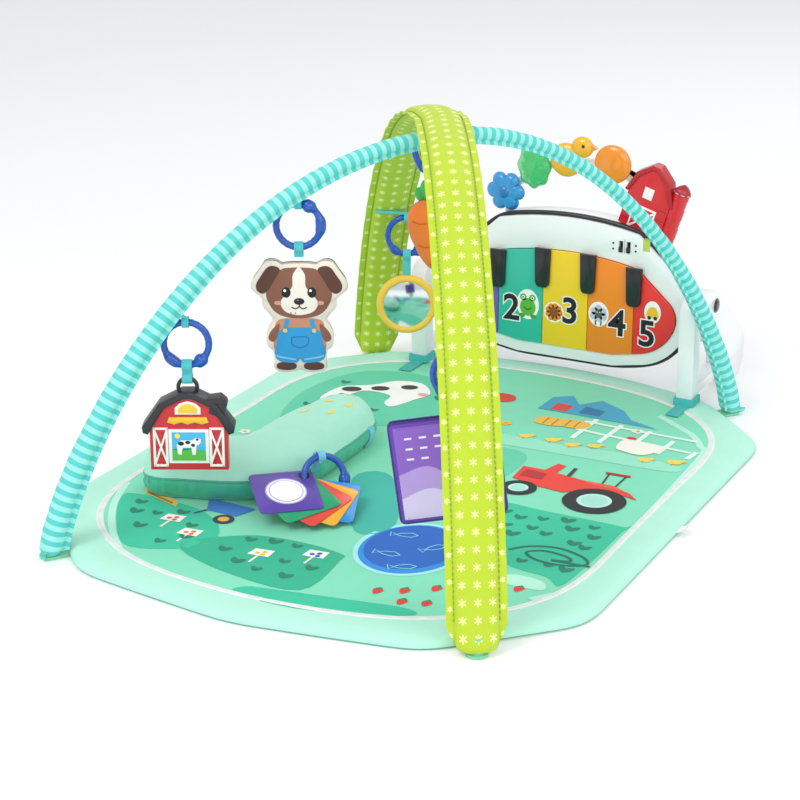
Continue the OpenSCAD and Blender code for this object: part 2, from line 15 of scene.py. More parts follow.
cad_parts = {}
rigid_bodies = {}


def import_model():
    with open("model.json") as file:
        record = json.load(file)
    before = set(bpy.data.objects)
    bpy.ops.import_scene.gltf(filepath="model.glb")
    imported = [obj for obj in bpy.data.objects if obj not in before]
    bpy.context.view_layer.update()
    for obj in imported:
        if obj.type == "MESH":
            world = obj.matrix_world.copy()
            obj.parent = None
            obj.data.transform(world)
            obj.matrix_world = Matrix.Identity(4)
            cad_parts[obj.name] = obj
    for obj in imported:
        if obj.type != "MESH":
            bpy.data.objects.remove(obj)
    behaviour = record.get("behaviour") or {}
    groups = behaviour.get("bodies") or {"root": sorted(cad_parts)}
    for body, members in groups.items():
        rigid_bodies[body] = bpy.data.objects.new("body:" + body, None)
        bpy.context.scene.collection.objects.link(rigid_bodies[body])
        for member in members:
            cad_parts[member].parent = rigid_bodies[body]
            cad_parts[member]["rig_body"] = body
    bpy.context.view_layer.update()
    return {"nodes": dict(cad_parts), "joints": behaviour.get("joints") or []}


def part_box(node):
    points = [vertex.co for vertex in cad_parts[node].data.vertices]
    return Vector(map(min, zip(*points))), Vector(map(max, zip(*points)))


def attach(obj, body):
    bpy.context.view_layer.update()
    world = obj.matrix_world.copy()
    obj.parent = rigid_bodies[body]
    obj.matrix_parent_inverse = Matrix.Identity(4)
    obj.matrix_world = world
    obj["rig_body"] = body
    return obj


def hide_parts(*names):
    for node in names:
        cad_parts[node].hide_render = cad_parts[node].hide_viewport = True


MM = 0.001
CAMERA_AT = (1.116, -2.238, 1.024)
CAMERA_TURN = (math.radians(69.75), 0, math.radians(27.13))
TOY_TURN = math.radians(27)
FEET = [(-271, -413), (271, -413), (271, 392), (-271, 392)]
CROSSING = (20, 9)
TEAL_HEIGHT = 436
GREEN_HEIGHT = 455
PIANO_X = 16
PIANO_Y = 416
LINK_RADIUS = 26
LINK_WIRE = 4.1
PRINT_LAYER = 0.16
STRAY_POINT = 0.02
WHITE_CODE = "FFFFFF"

# ---- camera, light and view ------------------------------------------------------------
scene = bpy.context.scene
camera = bpy.data.objects.new("camera", bpy.data.cameras.new("camera"))
scene.collection.objects.link(camera)
camera.location = CAMERA_AT
camera.rotation_euler = CAMERA_TURN
camera.data.lens = 96.75
camera.data.sensor_width = 36
scene.camera = camera
scene.view_settings.view_transform = "Standard"

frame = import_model()
JOINTS = {j["name"]: j for j in frame["joints"]}


def area_light(name, place, aim, size, power):
    data = bpy.data.lights.new(name, "AREA")
    data.shape = "DISK"
    data.size = size
    data.energy = power
    lamp = bpy.data.objects.new(name, data)
    scene.collection.objects.link(lamp)
    lamp.location = place
    lamp.rotation_euler = (Vector(aim) - Vector(place)).to_track_quat("-Z", "Y").to_euler()


area_light("key_light", (-0.7, -1.9, 2.6), (0, 0, 0.1), 1.6, 31)
area_light("front_light", (1.5, -2.9, 1.5), (0, 0.2, 0.15), 1.8, 15)
area_light("fill_light", (2.4, -0.9, 1.7), (0, 0, 0.2), 1.8, 15)
area_light("back_light", (0.4, 2.4, 2.4), (0, 0, 0.2), 2.0, 15)
world = bpy.data.worlds.new("studio")
world.use_nodes = True
world.node_tree.nodes["Background"].inputs["Color"].default_value = (0.97, 0.985, 1, 1)
world.node_tree.nodes["Background"].inputs["Strength"].default_value = 0.8
scene.world = world


# ---- materials -------------------------------------------------------------------------
def rgb(code):
    """Linear colour of a six-digit colour code."""
    parts = [int(code[i:i + 2], 16) / 255 for i in (0, 2, 4)]
    return [p / 12.92 if p < 0.04045 else ((p + 0.055) / 1.055) ** 2.4 for p in parts] + [1]


def calc(tree, op, *values):
    node = tree.nodes.new("ShaderNodeMath")
    node.operation = op
    for i, value in enumerate(values):
        if isinstance(value, (int, float)):
            node.inputs[i].default_value = value
        else:
            tree.links.new(value, node.inputs[i])
    return node.outputs[0]


def blend_colours(tree, factor, low, high):
    node = tree.nodes.new("ShaderNodeMix")
    node.data_type = "RGBA"
    for socket, value in ((node.inputs[0], factor), (node.inputs[6], low), (node.inputs[7], high)):
        if isinstance(value, (list, tuple, float)):
            socket.default_value = value
        else:
            tree.links.new(value, socket)
    return node.outputs[2]


def star(tree, x, y, reach):
    """1 inside three crossed bars round the origin, and 0 outside."""
    total = None
    for angle in (90, 32, -32):
        c = math.cos(math.radians(angle))
        s = math.sin(math.radians(angle))
        along = calc(tree, "ADD", calc(tree, "MULTIPLY", x, c), calc(tree, "MULTIPLY", y, s))
        off = calc(tree, "SUBTRACT", calc(tree, "MULTIPLY", y, c), calc(tree, "MULTIPLY", x, s))
        inside = calc(tree, "LESS_THAN", calc(tree, "ABSOLUTE", along), reach)
        thin = calc(tree, "LESS_THAN", calc(tree, "ABSOLUTE", off), 0.75)
        bar = calc(tree, "MULTIPLY", inside, thin)
        total = bar if total is None else calc(tree, "MAXIMUM", total, bar)
    return total


def repeat(tree, value, period, shift=0.0):
    """Distance in mm from the middle of the nearest cell of a repeating row."""
    cell = calc(tree, "FRACT", calc(tree, "ADD", calc(tree, "DIVIDE", value, period), 0.5 + shift))
    return calc(tree, "MULTIPLY", calc(tree, "SUBTRACT", cell, 0.5), period)


def star_print(tree, plain):
    uv = tree.nodes.new("ShaderNodeUVMap")
    split = tree.nodes.new("ShaderNodeSeparateXYZ")
    tree.links.new(uv.outputs[0], split.inputs[0])
    u, s = split.outputs[0], split.outputs[1]
    across = calc(tree, "ABSOLUTE", u)
    rows = repeat(tree, s, 18)
    core = calc(tree, "MULTIPLY", star(tree, repeat(tree, u, 16), rows, 4.4),
                calc(tree, "LESS_THAN", across, 22))
    edge = star(tree, calc(tree, "SUBTRACT", across, 28), repeat(tree, s, 28, 0.3), 3.0)
    both = calc(tree, "MAXIMUM", core, edge)
    return blend_colours(tree, both, plain, rgb("EEF7A0"))


def stripe_print(tree, plain):
    uv = tree.nodes.new("ShaderNodeUVMap")
    split = tree.nodes.new("ShaderNodeSeparateXYZ")
    tree.links.new(uv.outputs[0], split.inputs[0])
    band = calc(tree, "LESS_THAN", calc(tree, "ABSOLUTE", repeat(tree, split.outputs[1], 12)), 3)
    return blend_colours(tree, band, plain, rgb("98E8DF"))


MADE = {}


def material(code, rough=0.5, weave=0.0, depth=0.15, grain=45.0, mottle=0.05, coat=0.0, sheen=0.0,
             metal=0.0, clear=0.0, print_on=None):
    """Procedural finish: mottled colour, uneven roughness, and a weave or grain in relief."""
    key = (code, rough, weave, depth, grain, mottle, coat, sheen, metal, clear, print_on)
    if key in MADE:
        return MADE[key]
    mat = bpy.data.materials.new(f"finish_{len(MADE)}_{code}")
    mat.use_nodes = True
    tree = mat.node_tree
    shader = tree.nodes["Principled BSDF"]
    coord = tree.nodes.new("ShaderNodeTexCoord").outputs["Object"]
    cloud = tree.nodes.new("ShaderNodeTexNoise")
    cloud.inputs["Scale"].default_value = grain
    cloud.inputs["Detail"].default_value = 5
    tree.links.new(coord, cloud.inputs["Vector"])
    base = rgb(code)
    low = [c * (1 - mottle) for c in base[:3]] + [1]
    high = [min(1, c * (1 + mottle)) for c in base[:3]] + [1]
    colour = blend_colours(tree, cloud.outputs["Fac"], low, high)
    if print_on:
        colour = print_on(tree, colour)
    height = None
    if weave:
        for way in ("X", "Y", "Z"):
            wave = tree.nodes.new("ShaderNodeTexWave")
            wave.bands_direction = way
            wave.inputs["Scale"].default_value = 0.314 / (weave * MM)
            wave.inputs["Distortion"].default_value = 0.6
            tree.links.new(coord, wave.inputs["Vector"])
            part = wave.outputs["Fac"]
            height = part if height is None else calc(tree, "MULTIPLY", height,
                                                      calc(tree, "ADD", part, 0.4))
        threads = calc(tree, "MULTIPLY_ADD", height, 0.06, 0.97)
        dim = tree.nodes.new("ShaderNodeVectorMath")
        dim.operation = "SCALE"
        tree.links.new(colour, dim.inputs[0])
        tree.links.new(threads, dim.inputs["Scale"])
        colour = dim.outputs[0]
    else:
        fine = tree.nodes.new("ShaderNodeTexNoise")
        fine.inputs["Scale"].default_value = grain * 22
        fine.inputs["Detail"].default_value = 3
        tree.links.new(coord, fine.inputs["Vector"])
        height = fine.outputs["Fac"]
    tree.links.new(colour, shader.inputs["Base Color"])
    tree.links.new(calc(tree, "MULTIPLY_ADD", cloud.outputs["Fac"], 0.12, rough - 0.06),
                   shader.inputs["Roughness"])
    bump = tree.nodes.new("ShaderNodeBump")
    bump.inputs["Distance"].default_value = depth * MM
    tree.links.new(height, bump.inputs["Height"])
    tree.links.new(bump.outputs[0], shader.inputs["Normal"])
    shader.inputs["Metallic"].default_value = metal
    shader.inputs["Coat Weight"].default_value = coat
    shader.inputs["Coat Roughness"].default_value = 0.12
    shader.inputs["Sheen Weight"].default_value = sheen
    shader.inputs["Sheen Roughness"].default_value = 0.6
    shader.inputs["Transmission Weight"].default_value = clear
    MADE[key] = mat
    return mat


def cloth(code, weave=1.1, **more):
    return material(code, rough=0.88, weave=weave, depth=0.12, grain=28.0, mottle=0.05, sheen=0.12,
                    **more)


def printed(code):
    return material(code, rough=0.85, weave=1.1, depth=0.08, grain=30.0, mottle=0.04, sheen=0.08)


def plastic(code, rough=0.32, coat=0.25):
    return material(code, rough=rough, depth=0.015, grain=30.0, mottle=0.02, coat=coat)


def webbing(code):
    return material(code, rough=0.85, weave=0.9, depth=0.25, grain=60.0, mottle=0.06, sheen=0.15)


# ---- drawing helpers -------------------------------------------------------------------
class Shape:
    """Collects faces with their materials, and becomes one object."""

    def __init__(self):
        self.verts = []
        self.faces = []
        self.mats = []
        self.tags = []
        self.uvs = {}

    def add(self, verts, faces, mat, place=None, uv=None, start=None):
        """start is the number of the faces' first point, for faces on points already added."""
        start = len(self.verts) if start is None else start
        if mat not in self.mats:
            self.mats.append(mat)
        self.verts += [place @ Vector(v) if place else Vector(v) for v in verts]
        self.faces += [[start + i for i in f] for f in faces]
        self.tags += [self.mats.index(mat)] * len(faces)
        if uv:
            self.uvs.update({start + i: w for i, w in enumerate(uv)})
        return self

    def build(self, name, body, slot=None, stands_for=(), sharp=38):
        mesh = bpy.data.meshes.new(name)
        mesh.from_pydata([tuple(v * MM) for v in self.verts], [], self.faces)
        for mat in self.mats:
            mesh.materials.append(mat)
        mesh.polygons.foreach_set("material_index", self.tags)
        mesh.polygons.foreach_set("use_smooth", [True] * len(self.faces))
        if self.uvs:
            layer = mesh.uv_layers.new(name="UVMap")
            for corner in mesh.loops:
                layer.data[corner.index].uv = self.uvs.get(corner.vertex_index, (0, 0))
        mesh.update()
        bm = bmesh.new()
        bm.from_mesh(mesh)
        bmesh.ops.recalc_face_normals(bm, faces=bm.faces)
        bm.to_mesh(mesh)
        bm.free()
        mesh.set_sharp_from_angle(angle=math.radians(sharp))
        obj = bpy.data.objects.new(name, mesh)
        scene.collection.objects.link(obj)
        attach(obj, body)
        if stands_for:
            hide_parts(*stands_for)
        return obj


def shift(points, amount):
    """Moves a closed outline inwards, for a small bevel."""
    moved = []
    count = len(points)
    turn = sum(points[i][0] * points[(i + 1) % count][1] - points[(i + 1) % count][0] * points[i][1]
               for i in range(count))
    sign = 1 if turn > 0 else -1
    for i, p in enumerate(points):
        a = Vector(p) - Vector(points[i - 1])
        b = Vector(points[(i + 1) % count]) - Vector(p)
        if a.length < 1e-6 or b.length < 1e-6:
            moved.append(tuple(p))
            continue
        normal = Vector((-a.y, a.x)).normalized() + Vector((-b.y, b.x)).normalized()
        size = max(normal.length, 0.6)
        moved.append(tuple(Vector(p) + normal / size * (2 / size) * amount * sign * min(1, size)))
    return moved


def smooth(points, steps=6, closed=True):
    """Catmull-Rom curve through the points."""
    out = []
    n = len(points)
    for i in range(n if closed else n - 1):
        p = [Vector(points[(i + k) % n] if closed else points[min(max(i + k, 0), n - 1)])
             for k in (-1, 0, 1, 2)]
        for j in range(steps):
            t = j / steps
            out.append(tuple(0.5 * (2 * p[1] + (p[2] - p[0]) * t +
                                    (2 * p[0] - 5 * p[1] + 4 * p[2] - p[3]) * t * t
                                    + (3 * p[1] - p[0] - 3 * p[2] + p[3]) * t ** 3)))
    if not closed:
        out.append(tuple(points[-1]))
    return out


def ripple(x, y, z):
    """Smooth random value of a place, for cloth that isn't quite even."""
    return noise.noise(Vector((x, y, z)))


def turned(points, x, y, turn):
    """The points turned about the origin, then moved to x and y."""
    c, s = math.cos(turn), math.sin(turn)
    return [(x + u * c - v * s, y + u * s + v * c) for u, v in points]


def around(count):
    """Evenly spaced angles of a full turn."""
    return [2 * math.pi * k / count for k in range(count)]


def disc(x, y, rx, ry=None, count=24, turn=0.0):
    ry = rx if ry is None else ry
    return turned([(rx * math.cos(a), ry * math.sin(a)) for a in around(count)], x, y, turn)


def box(x0, x1, z0, z1):
    return [(x0, z0), (x1, z0), (x1, z1), (x0, z1)]


def bands(count, last, first=0, closed=False):
    """Faces between neighbouring rings of count points. closed joins ring last to ring 0."""
    faces = []
    for r in range(first, last + closed):
        here = r * count
        there = 0 if r == last else here + count
        faces += [[here + k, there + k, there + (k + 1) % count, here + (k + 1) % count]
                  for k in range(count)]
    return faces


def strip(points, width):
    """Outline of a thick open line."""
    left, right = [], []
    n = len(points)
    for i, p in enumerate(points):
        d = (Vector(points[min(i + 1, n - 1)]) - Vector(points[max(i - 1, 0)])).normalized()
        w = width / 2
        left.append((p[0] - d.y * w, p[1] + d.x * w))
        right.append((p[0] + d.y * w, p[1] - d.x * w))
    return left + right[::-1]


def slab(shape, outline, front, back, mat, place=None, bevel=0.8, back_bevel=None):
    """A plate with outline in X and Z, from y = front to y = back, with rounded edges."""
    back_bevel = bevel if back_bevel is None else back_bevel
    inner = shift(outline, bevel)
    middle = shift(outline, bevel * 0.3)
    rear = shift(outline, back_bevel)
    rings = [(inner, front), (middle, front + bevel * 0.3), (outline, front + bevel),
             (outline, back - back_bevel), (rear, back)]
    n = len(outline)
    verts = [(x, y, z) for ring, y in rings for x, z in ring]
    faces = [list(range(n))]
    faces += bands(n, len(rings) - 1)
    faces.append([(len(rings) - 1) * n + i for i in range(n)][::-1])
    shape.add(verts, faces, mat, place)


def cushion(shape, outline, middle, half_front, half_back, mats, place=None, rows=9, power=2.2,
            centre=None):
    """A stuffed form with its seam on the outline: a domed front and a domed back."""
    n = len(outline)
    centre = centre or (sum(p[0] for p in outline) / n, sum(p[1] for p in outline) / n)
    for side, half, mat in ((-1, half_front, mats[0]), (1, half_back, mats[-1])):
        verts = []
        for r in range(rows):
            t = r / rows
            y = middle + side * half * (1 - (1 - t) ** power) ** (1 / power)
            for x, z in outline:
                verts.append((centre[0] + (x - centre[0]) * (1 - t), y, centre[1] + (z - centre[1]) *
                              (1 - t)))
        verts.append((centre[0], middle + side * half, centre[1]))
        faces = []
        for r in range(rows - 1):
            for i in range(n):
                j = (i + 1) % n
                faces.append([r * n + i, r * n + j, (r + 1) * n + j, (r + 1) * n + i][::side])
        last = (rows - 1) * n
        faces += [[last + i, last + (i + 1) % n, rows * n][::side] for i in range(n)]
        shape.add(verts, faces, mat, place)


def ball(shape, centre, radii, mat, place=None, rows=14, count=24):
    verts = []
    for r in range(1, rows):
        a = math.pi * r / rows
        for b in around(count):
            way = (math.sin(a) * math.cos(b), math.sin(a) * math.sin(b), math.cos(a))
            verts.append([c + r * w for c, r, w in zip(centre, radii, way)])
    verts += [(centre[0], centre[1], centre[2] + radii[2]), (centre[0], centre[1], centre[2] - radii[2])]
    faces = bands(count, rows - 2)
    top, low = len(verts) - 2, len(verts) - 1
    faces += [[top, k, (k + 1) % count] for k in range(count)]
    faces += [[low, (rows - 2) * count + (k + 1) % count, (rows - 2) * count + k] for k in range(count)]
    shape.add(verts, faces, mat, place)


def tube(shape, path, radius, mat, place=None, count=12, closed=False):
    """Round bar along a path. radius is a number or one for each point."""
    n = len(path)
    sizes = radius if hasattr(radius, "__len__") else [radius] * n
    verts = []
    last = None
    for i, p in enumerate(path):
        ahead = Vector(path[(i + 1) % n] if closed else path[min(i + 1, n - 1)])
        behind = Vector(path[i - 1] if closed else path[max(i - 1, 0)])
        t = (ahead - behind).normalized()
        if last is None:
            last = t.orthogonal().normalized()
        last = (last - t * last.dot(t)).normalized()
        other = t.cross(last)
        verts += [Vector(p) + (last * math.cos(a) + other * math.sin(a)) * sizes[i]
                  for a in around(count)]
    faces = bands(count, n - 1, closed=closed)
    if not closed:
        faces += [list(range(count))[::-1], [(n - 1) * count + k for k in range(count)]]
    shape.add(verts, faces, mat, place)


class Print:
    """Thin printed shapes that follow a surface. place gives a point from two numbers and a lift."""

    def __init__(self, place, grid=14.0, lift=0.22):
        self.place = place
        self.grid = grid
        self.lift = lift
        self.shape = Shape()

    def fill(self, points, code, layer=0):
        bm = bmesh.new()
        corners = [bm.verts.new((p[0], p[1], 0)) for p in points]
        bm.faces.new(corners)
        bmesh.ops.triangulate(bm, faces=bm.faces[:], ngon_method="EAR_CLIP")
        for axis in (0, 1):
            values = [p[axis] for p in points]
            first = math.floor(min(values) / self.grid) + 1
            for k in range(first, math.ceil(max(values) / self.grid)):
                at = [0, 0, 0]
                at[axis] = k * self.grid
                normal = [0, 0, 0]
                normal[axis] = 1
                bmesh.ops.bisect_plane(bm, geom=bm.verts[:] + bm.edges[:] + bm.faces[:], plane_co=at,
                                       plane_no=normal)
        bm.verts.index_update()
        verts = [self.place(v.co.x, v.co.y, self.lift + PRINT_LAYER * layer) for v in bm.verts]
        faces = [[v.index for v in f.verts] for f in bm.faces]
        bm.free()
        self.shape.add(verts, faces, printed(code))

    def blob(self, points, steps, code, layer=0):
        self.fill(smooth(points, steps), code, layer)

    def line(self, points, width, code, layer=1):
        self.fill(strip(points, width), code, layer)

    def curve(self, points, steps, width, code, layer=1):
        self.line(smooth(points, steps, False), width, code, layer)

    def finish(self, name, body, slot):
        self.shape.build(name, body, slot, sharp=80)

    def number(self, figure, x, y, size, code, layer, bold=0.0):
        curve = bpy.data.curves.new("figure", "FONT")
        curve.body = figure
        curve.size = size
        curve.offset = bold
        curve.align_x = "CENTER"
        curve.resolution_u = 4
        holder = bpy.data.objects.new("figure", curve)
        mesh = bpy.data.meshes.new_from_object(holder)
        verts = [self.place(x + v.co.x, y + v.co.y, self.lift + PRINT_LAYER * layer)
                 for v in mesh.vertices]
        self.shape.add(verts, [list(p.vertices) for p in mesh.polygons], printed(code))
        bpy.data.objects.remove(holder)
        bpy.data.meshes.remove(mesh)
        bpy.data.curves.remove(curve)


def on_face(place, y):
    """Print place on a flat front at distance y in a toy's own frame."""
    return lambda a, b, lift: place @ Vector((a, y - lift, b))


def on_piece(obj, place):
    """Print place on the front of a finished piece, found along the piece's Y."""
    back = place.inverted()
    tree = BVHTree.FromPolygons([back @ (v.co / MM) for v in obj.data.vertices],
                                [list(p.vertices) for p in obj.data.polygons])

    def find(a, b, lift):
        hit = tree.ray_cast(Vector((a, -90, b)), Vector((0, 1, 0)))[0]
        y = hit.y if hit else 0.0
        return place @ Vector((a, y - lift, b))
    return find


def rounded(node, mat, width, pick=None, mats=()):
    """A CAD part with rounded edges, shown in the part's place."""
    bm = bmesh.new()
    bm.from_mesh(frame["nodes"][node].data)
    bmesh.ops.remove_doubles(bm, verts=bm.verts, dist=2e-6)
    bmesh.ops.dissolve_limit(bm, angle_limit=math.radians(2), verts=bm.verts, edges=bm.edges)
    edges = [e for e in bm.edges if e.is_manifold and e.calc_face_angle(0) > math.radians(32)]
    bmesh.ops.bevel(bm, geom=edges, offset=width * MM, segments=2, profile=0.5, affect="EDGES",
                    clamp_overlap=True)
    mesh = bpy.data.meshes.new(node + "_finished")
    for f in bm.faces:
        f.smooth = True
        f.material_index = pick(f.calc_center_median() / MM, f.normal) if pick else 0
    bm.to_mesh(mesh)
    bm.free()
    for one in [mat, *mats]:
        mesh.materials.append(one)
    mesh.set_sharp_from_angle(angle=math.radians(35))
    obj = bpy.data.objects.new(mesh.name, mesh)
    scene.collection.objects.link(obj)
    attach(obj, frame["nodes"][node]["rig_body"])
    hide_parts(node)
    return obj


def dress(node, mat):
    """Gives a CAD part that stays in view its finish."""
    data = frame["nodes"][node].data
    data.materials.clear()
    data.materials.append(mat)


# ---- mat -------------------------------------------------------------------------------
MAT_CORNERS = [(323, -290), (323, 272), (205, -412), (220, 376), (110, -428), (110, 406), (0, -444),
               (0, 416)]
DIRECTIONS = np.array([(math.cos(a), math.sin(a))
                       for a in np.linspace(0, 2 * math.pi, 720, endpoint=False)])
CENTRES = np.array([(s * x, y) for x, y in MAT_CORNERS for s in (-1, 1)])
SUPPORT = (DIRECTIONS @ CENTRES.T).max(axis=1) + 26
AROUND = 300


def outline_ring(support, inset, middle=(0, 0), count=AROUND, soft=0):
    """A convex outline moved inwards, with its corners softened over a few steps."""
    centre = np.array(middle)
    reach = []
    for a in around(count):
        ways = DIRECTIONS @ np.array((math.cos(a), math.sin(a)))
        ahead = ways > 0.05
        reach.append((((support - DIRECTIONS @ centre) - inset)[ahead] / ways[ahead]).min())
    if soft:
        near = np.arange(-2 * soft, 2 * soft + 1)
        weights = np.exp(-0.5 * (near / soft) ** 2)
        weights /= weights.sum()
        reach = [sum(w * reach[(k + n) % count] for n, w in zip(near, weights)) for k in range(count)]
    return [(centre[0] + r * math.cos(a), centre[1] + r * math.sin(a)) for a,
            r in zip(around(count), reach)]


def mat_ring(inset):
    """The mat's outline, moved inwards and rounder towards the middle."""
    return outline_ring(SUPPORT, inset, soft=2 + round(min(inset, 46) / 9))


def mat_top(x, y):
    """Height of the printed cloth, which lies in slight waves."""
    return 11.1 + 0.55 * ripple(x / 75, y / 75, 3) + 0.2 * ripple(x / 22, y / 22, 8)


MINT = cloth("B4EED9", weave=1.4)
DEEP_MINT = cloth("7FD3BA", weave=1.4)
PRINT_BASE = printed("82DFBC")
BORDER_ROWS = [(7, 0.3), (2, 0.8), (0.5, 2.2), (0, 4), (1.2, 6.8), (3.5, 9), (7, 10.6), (12, 11.5),
               (20, 12), (30, 12), (38, 11.6), (43, 11), (46, 10.9)]


def mat_cover():
    shape = Shape()
    verts = []
    for inset, z in BORDER_ROWS:
        for k, (x, y) in enumerate(mat_ring(inset)):
            rise = 0.0
            if 5 < inset < 44:
                rise = 0.35 * ripple(x / 16, y / 16, 1) + 0.3 * ripple(x / 50, y / 50, 5)
            verts.append((x, y, z + rise))
    rows = len(BORDER_ROWS)
    shape.add(verts, bands(AROUND, rows - 1, 2), MINT)
    shape.add(verts, bands(AROUND, 2) + [list(range(AROUND))[::-1]], DEEP_MINT)
    cover = shape.build("mat_cover", "mat", "mat_mint", ["mat_border", "mat_backing"], 60)
    panel = Shape()
    edge = mat_ring(45)
    steps = 26
    verts = []
    for r in range(steps):
        t = 1 - r / steps
        for x, y in edge:
            verts.append((x * t, y * t, mat_top(x * t, y * t) if r else 10.7))
    verts.append((0, 0, mat_top(0, 0)))
    faces = bands(AROUND, steps - 1)
    faces += [[(steps - 1) * AROUND + k, (steps - 1) * AROUND + (k + 1) % AROUND, steps * AROUND]
              for k in range(AROUND)]
    panel.add(verts, faces, PRINT_BASE)
    panel.build("mat_printed_cloth", "mat", "mat_print", ["mat_print_panel"], 60)
    edging = Shape()
    verts = []
    for inset, z in [(41.5, 11.1), (42, 11.7), (44.5, 12), (47.5, 11.9), (49.5, 11.7), (50, 11.0)]:
        verts += [(x, y, z + 0.12 * math.sin(k * 1.9)) for k, (x, y) in enumerate(mat_ring(inset))]
    edging.add(verts, bands(AROUND, 5), webbing("EEF5F2"))
    edging.build("mat_white_ribbon", "mat", "white_piping", ["mat_piping"], 60)


mat_cover()
dress("mat_wadding", cloth("F0F0EC"))
dress("corner_sockets", plastic("7CCFA8", rough=0.6))


# ---- the mat's farm print --------------------------------------------------------------
def mat_place(a, b, lift):
    return Vector((a, b, mat_top(a, b) + lift))


def sprout(sheet, x, y, size):
    """A small plant with two leaves."""
    for turn in (-0.62, 0.62):
        dx, dy = math.sin(turn), math.cos(turn)
        leaf = [(x, y - size * 0.2), (x + size * (0.5 * dx - 0.3 * dy), y + size * (0.5 * dy + 0.3 * dx)),
                (x + size * dx, y + size * dy), (x + size * (0.5 * dx + 0.3 * dy), y + size *
                                                 (0.5 * dy - 0.3 * dx))]
        sheet.blob(leaf, 3, "0E8063", 3)


def paths(sheet):
    """Pale paths at the sides."""
    path = [(276, -288), (305, -243), (310, -191), (306, 0), (299, 197), (287, 227), (261, 263),
            (200, 308)]
    track = [(-302, -208), (-276, -276), (-234, -340), (-183, -394)]
    for line in (path, track):
        sheet.curve(line, 8, 9, "B9F0DC", 0)


def fields(sheet):
    """Coloured fields with their plants."""
    fields = [
        ([(-280, -255), (-271, -234), (-181, -240), (-126, -278), (-118, -332), (-191, -369),
          (-241, -321)], "2BC49D"),
        ([(-87, -280), (-20, -269), (35, -276), (43, -293), (41, -382), (-60, -378), (-142, -339)],
         "1FB58E"),
        ([(104, -61), (200, -57), (292, -59), (298, -66), (294, -233), (267, -226), (211, -214),
          (150, -150)], "2BC49D"),
        ([(-61, -70), (-21, -42), (52, -172), (18, -212)], "38B9A8"),
        ([(40, 20), (100, 12), (104, 90), (70, 110), (40, 90)], "62D0AE"),
        ([(-240, 60), (-180, 80), (-90, 120), (-60, 200), (-120, 300), (-230, 290), (-270, 180)],
         "5CCDA8"),
        ([(-20, 120), (60, 120), (180, 122), (282, 128), (284, 150), (200, 158), (60, 150), (-20, 150)],
         "97E6C8"),
        ([(-20, -420), (60, -424), (150, -396), (182, -376), (150, -370), (60, -392), (-10, -398)],
         "2BC49D"),
        ([(226, -262), (277, -262), (270, -240), (232, -238)], "B9F0DC"),
    ]
    for points, code in fields:
        sheet.blob(points, 5, code, 1)
    plants = [(-252, -258), (-242, -284), (-216, -277), (-215, -317), (-190, -262), (-169, -344),
              (-149, -320), (-160, -290),
              (-77, -293), (-49, -286), (-20, -285), (-90, -330), (-60, -352), (-30, -360), (8, -362),
              (24, -330), (-12, -328),
              (185, -140), (199, -114), (220, -123), (242, -97), (264, -81), (274, -108), (260, -134),
              (258, -201),
              (150, -84), (174, -92), (200, -84), (228, -76), (168, -118), (276, -140), (280, -205),
              (226, -204),
              (-200, 100), (-170, 120), (-150, 150), (-90, 230), (-240, 130), (-236, 230)]
    for k, (x, y) in enumerate(plants):
        sprout(sheet, x, y, 13 + 2 * math.sin(k * 2.3))


def pond(sheet):
    """Pond with line-drawn fish."""
    sheet.fill(disc(100, -228, 64, 76, 48), "A9ECF2", 1)
    sheet.fill(disc(100, -228, 58, 70, 48), "1E8FE0", 2)
    sheet.fill(disc(98, -224, 52, 63, 48), "0B63C4", 3)
    for x, y, turn in ((78, -196, 0.3), (124, -214, 0.9), (84, -252, 0.1), (116, -276, 0.5)):
        fish = [(14, 0), (6, 6), (-6, 4), (-12, 0), (-19, 6), (-18, -6), (-12, 0), (-6, -4), (6, -6),
                (14, 0)]
        sheet.line(turned(fish, x, y, turn), 1.5, "8FE0F2", 5)


def fruit_and_signs(sheet):
    """Fallen fruit and small signs."""
    for x, y in ((144, -330), (173, -309), (154, -356), (180, -348), (118, -344), (200, -326),
                 (254, -269), (225, -290)):
        sheet.blob([(x - 6, y + 3), (x, y + 5), (x + 6, y + 3), (x + 4, y - 5), (x, y - 9),
                    (x - 4, y - 5)], 4, "E6332E", 2)
        sheet.fill([(x - 5, y + 4), (x, y + 9), (x + 5, y + 4), (x, y + 3)], "1D8A4B", 3)
    for x, y, code in ((-190, -286, "F4F1E2"), (-46, -325, "F7C52D"), (11, -299, "3A55C8"),
                       (-150, -312, "F2722B")):
        sheet.line([(x, y - 20), (x, y)], 3, "F4F1E2", 3)
        sheet.fill([(x - 13, y - 2), (x + 13, y + 1), (x + 12, y + 19), (x - 12, y + 16)], "F7FBF5", 4)
        for dx, dy in ((-4, 6), (3, 11), (4, 4)):
            sheet.fill(disc(x + dx, y + dy, 3.2, count=10), code if code != "F4F1E2" else "E65A3A", 5)


def hose(sheet):
    """Coiled hose."""
    coil = [(201, -179), (218, -160), (250, -150), (284, -160), (296, -178), (270, -192), (238, -190),
            (222, -176),
            (240, -164), (268, -168), (276, -178), (256, -184), (302, -181)]
    sheet.curve(coil, 6, 3.8, "12705A", 4)


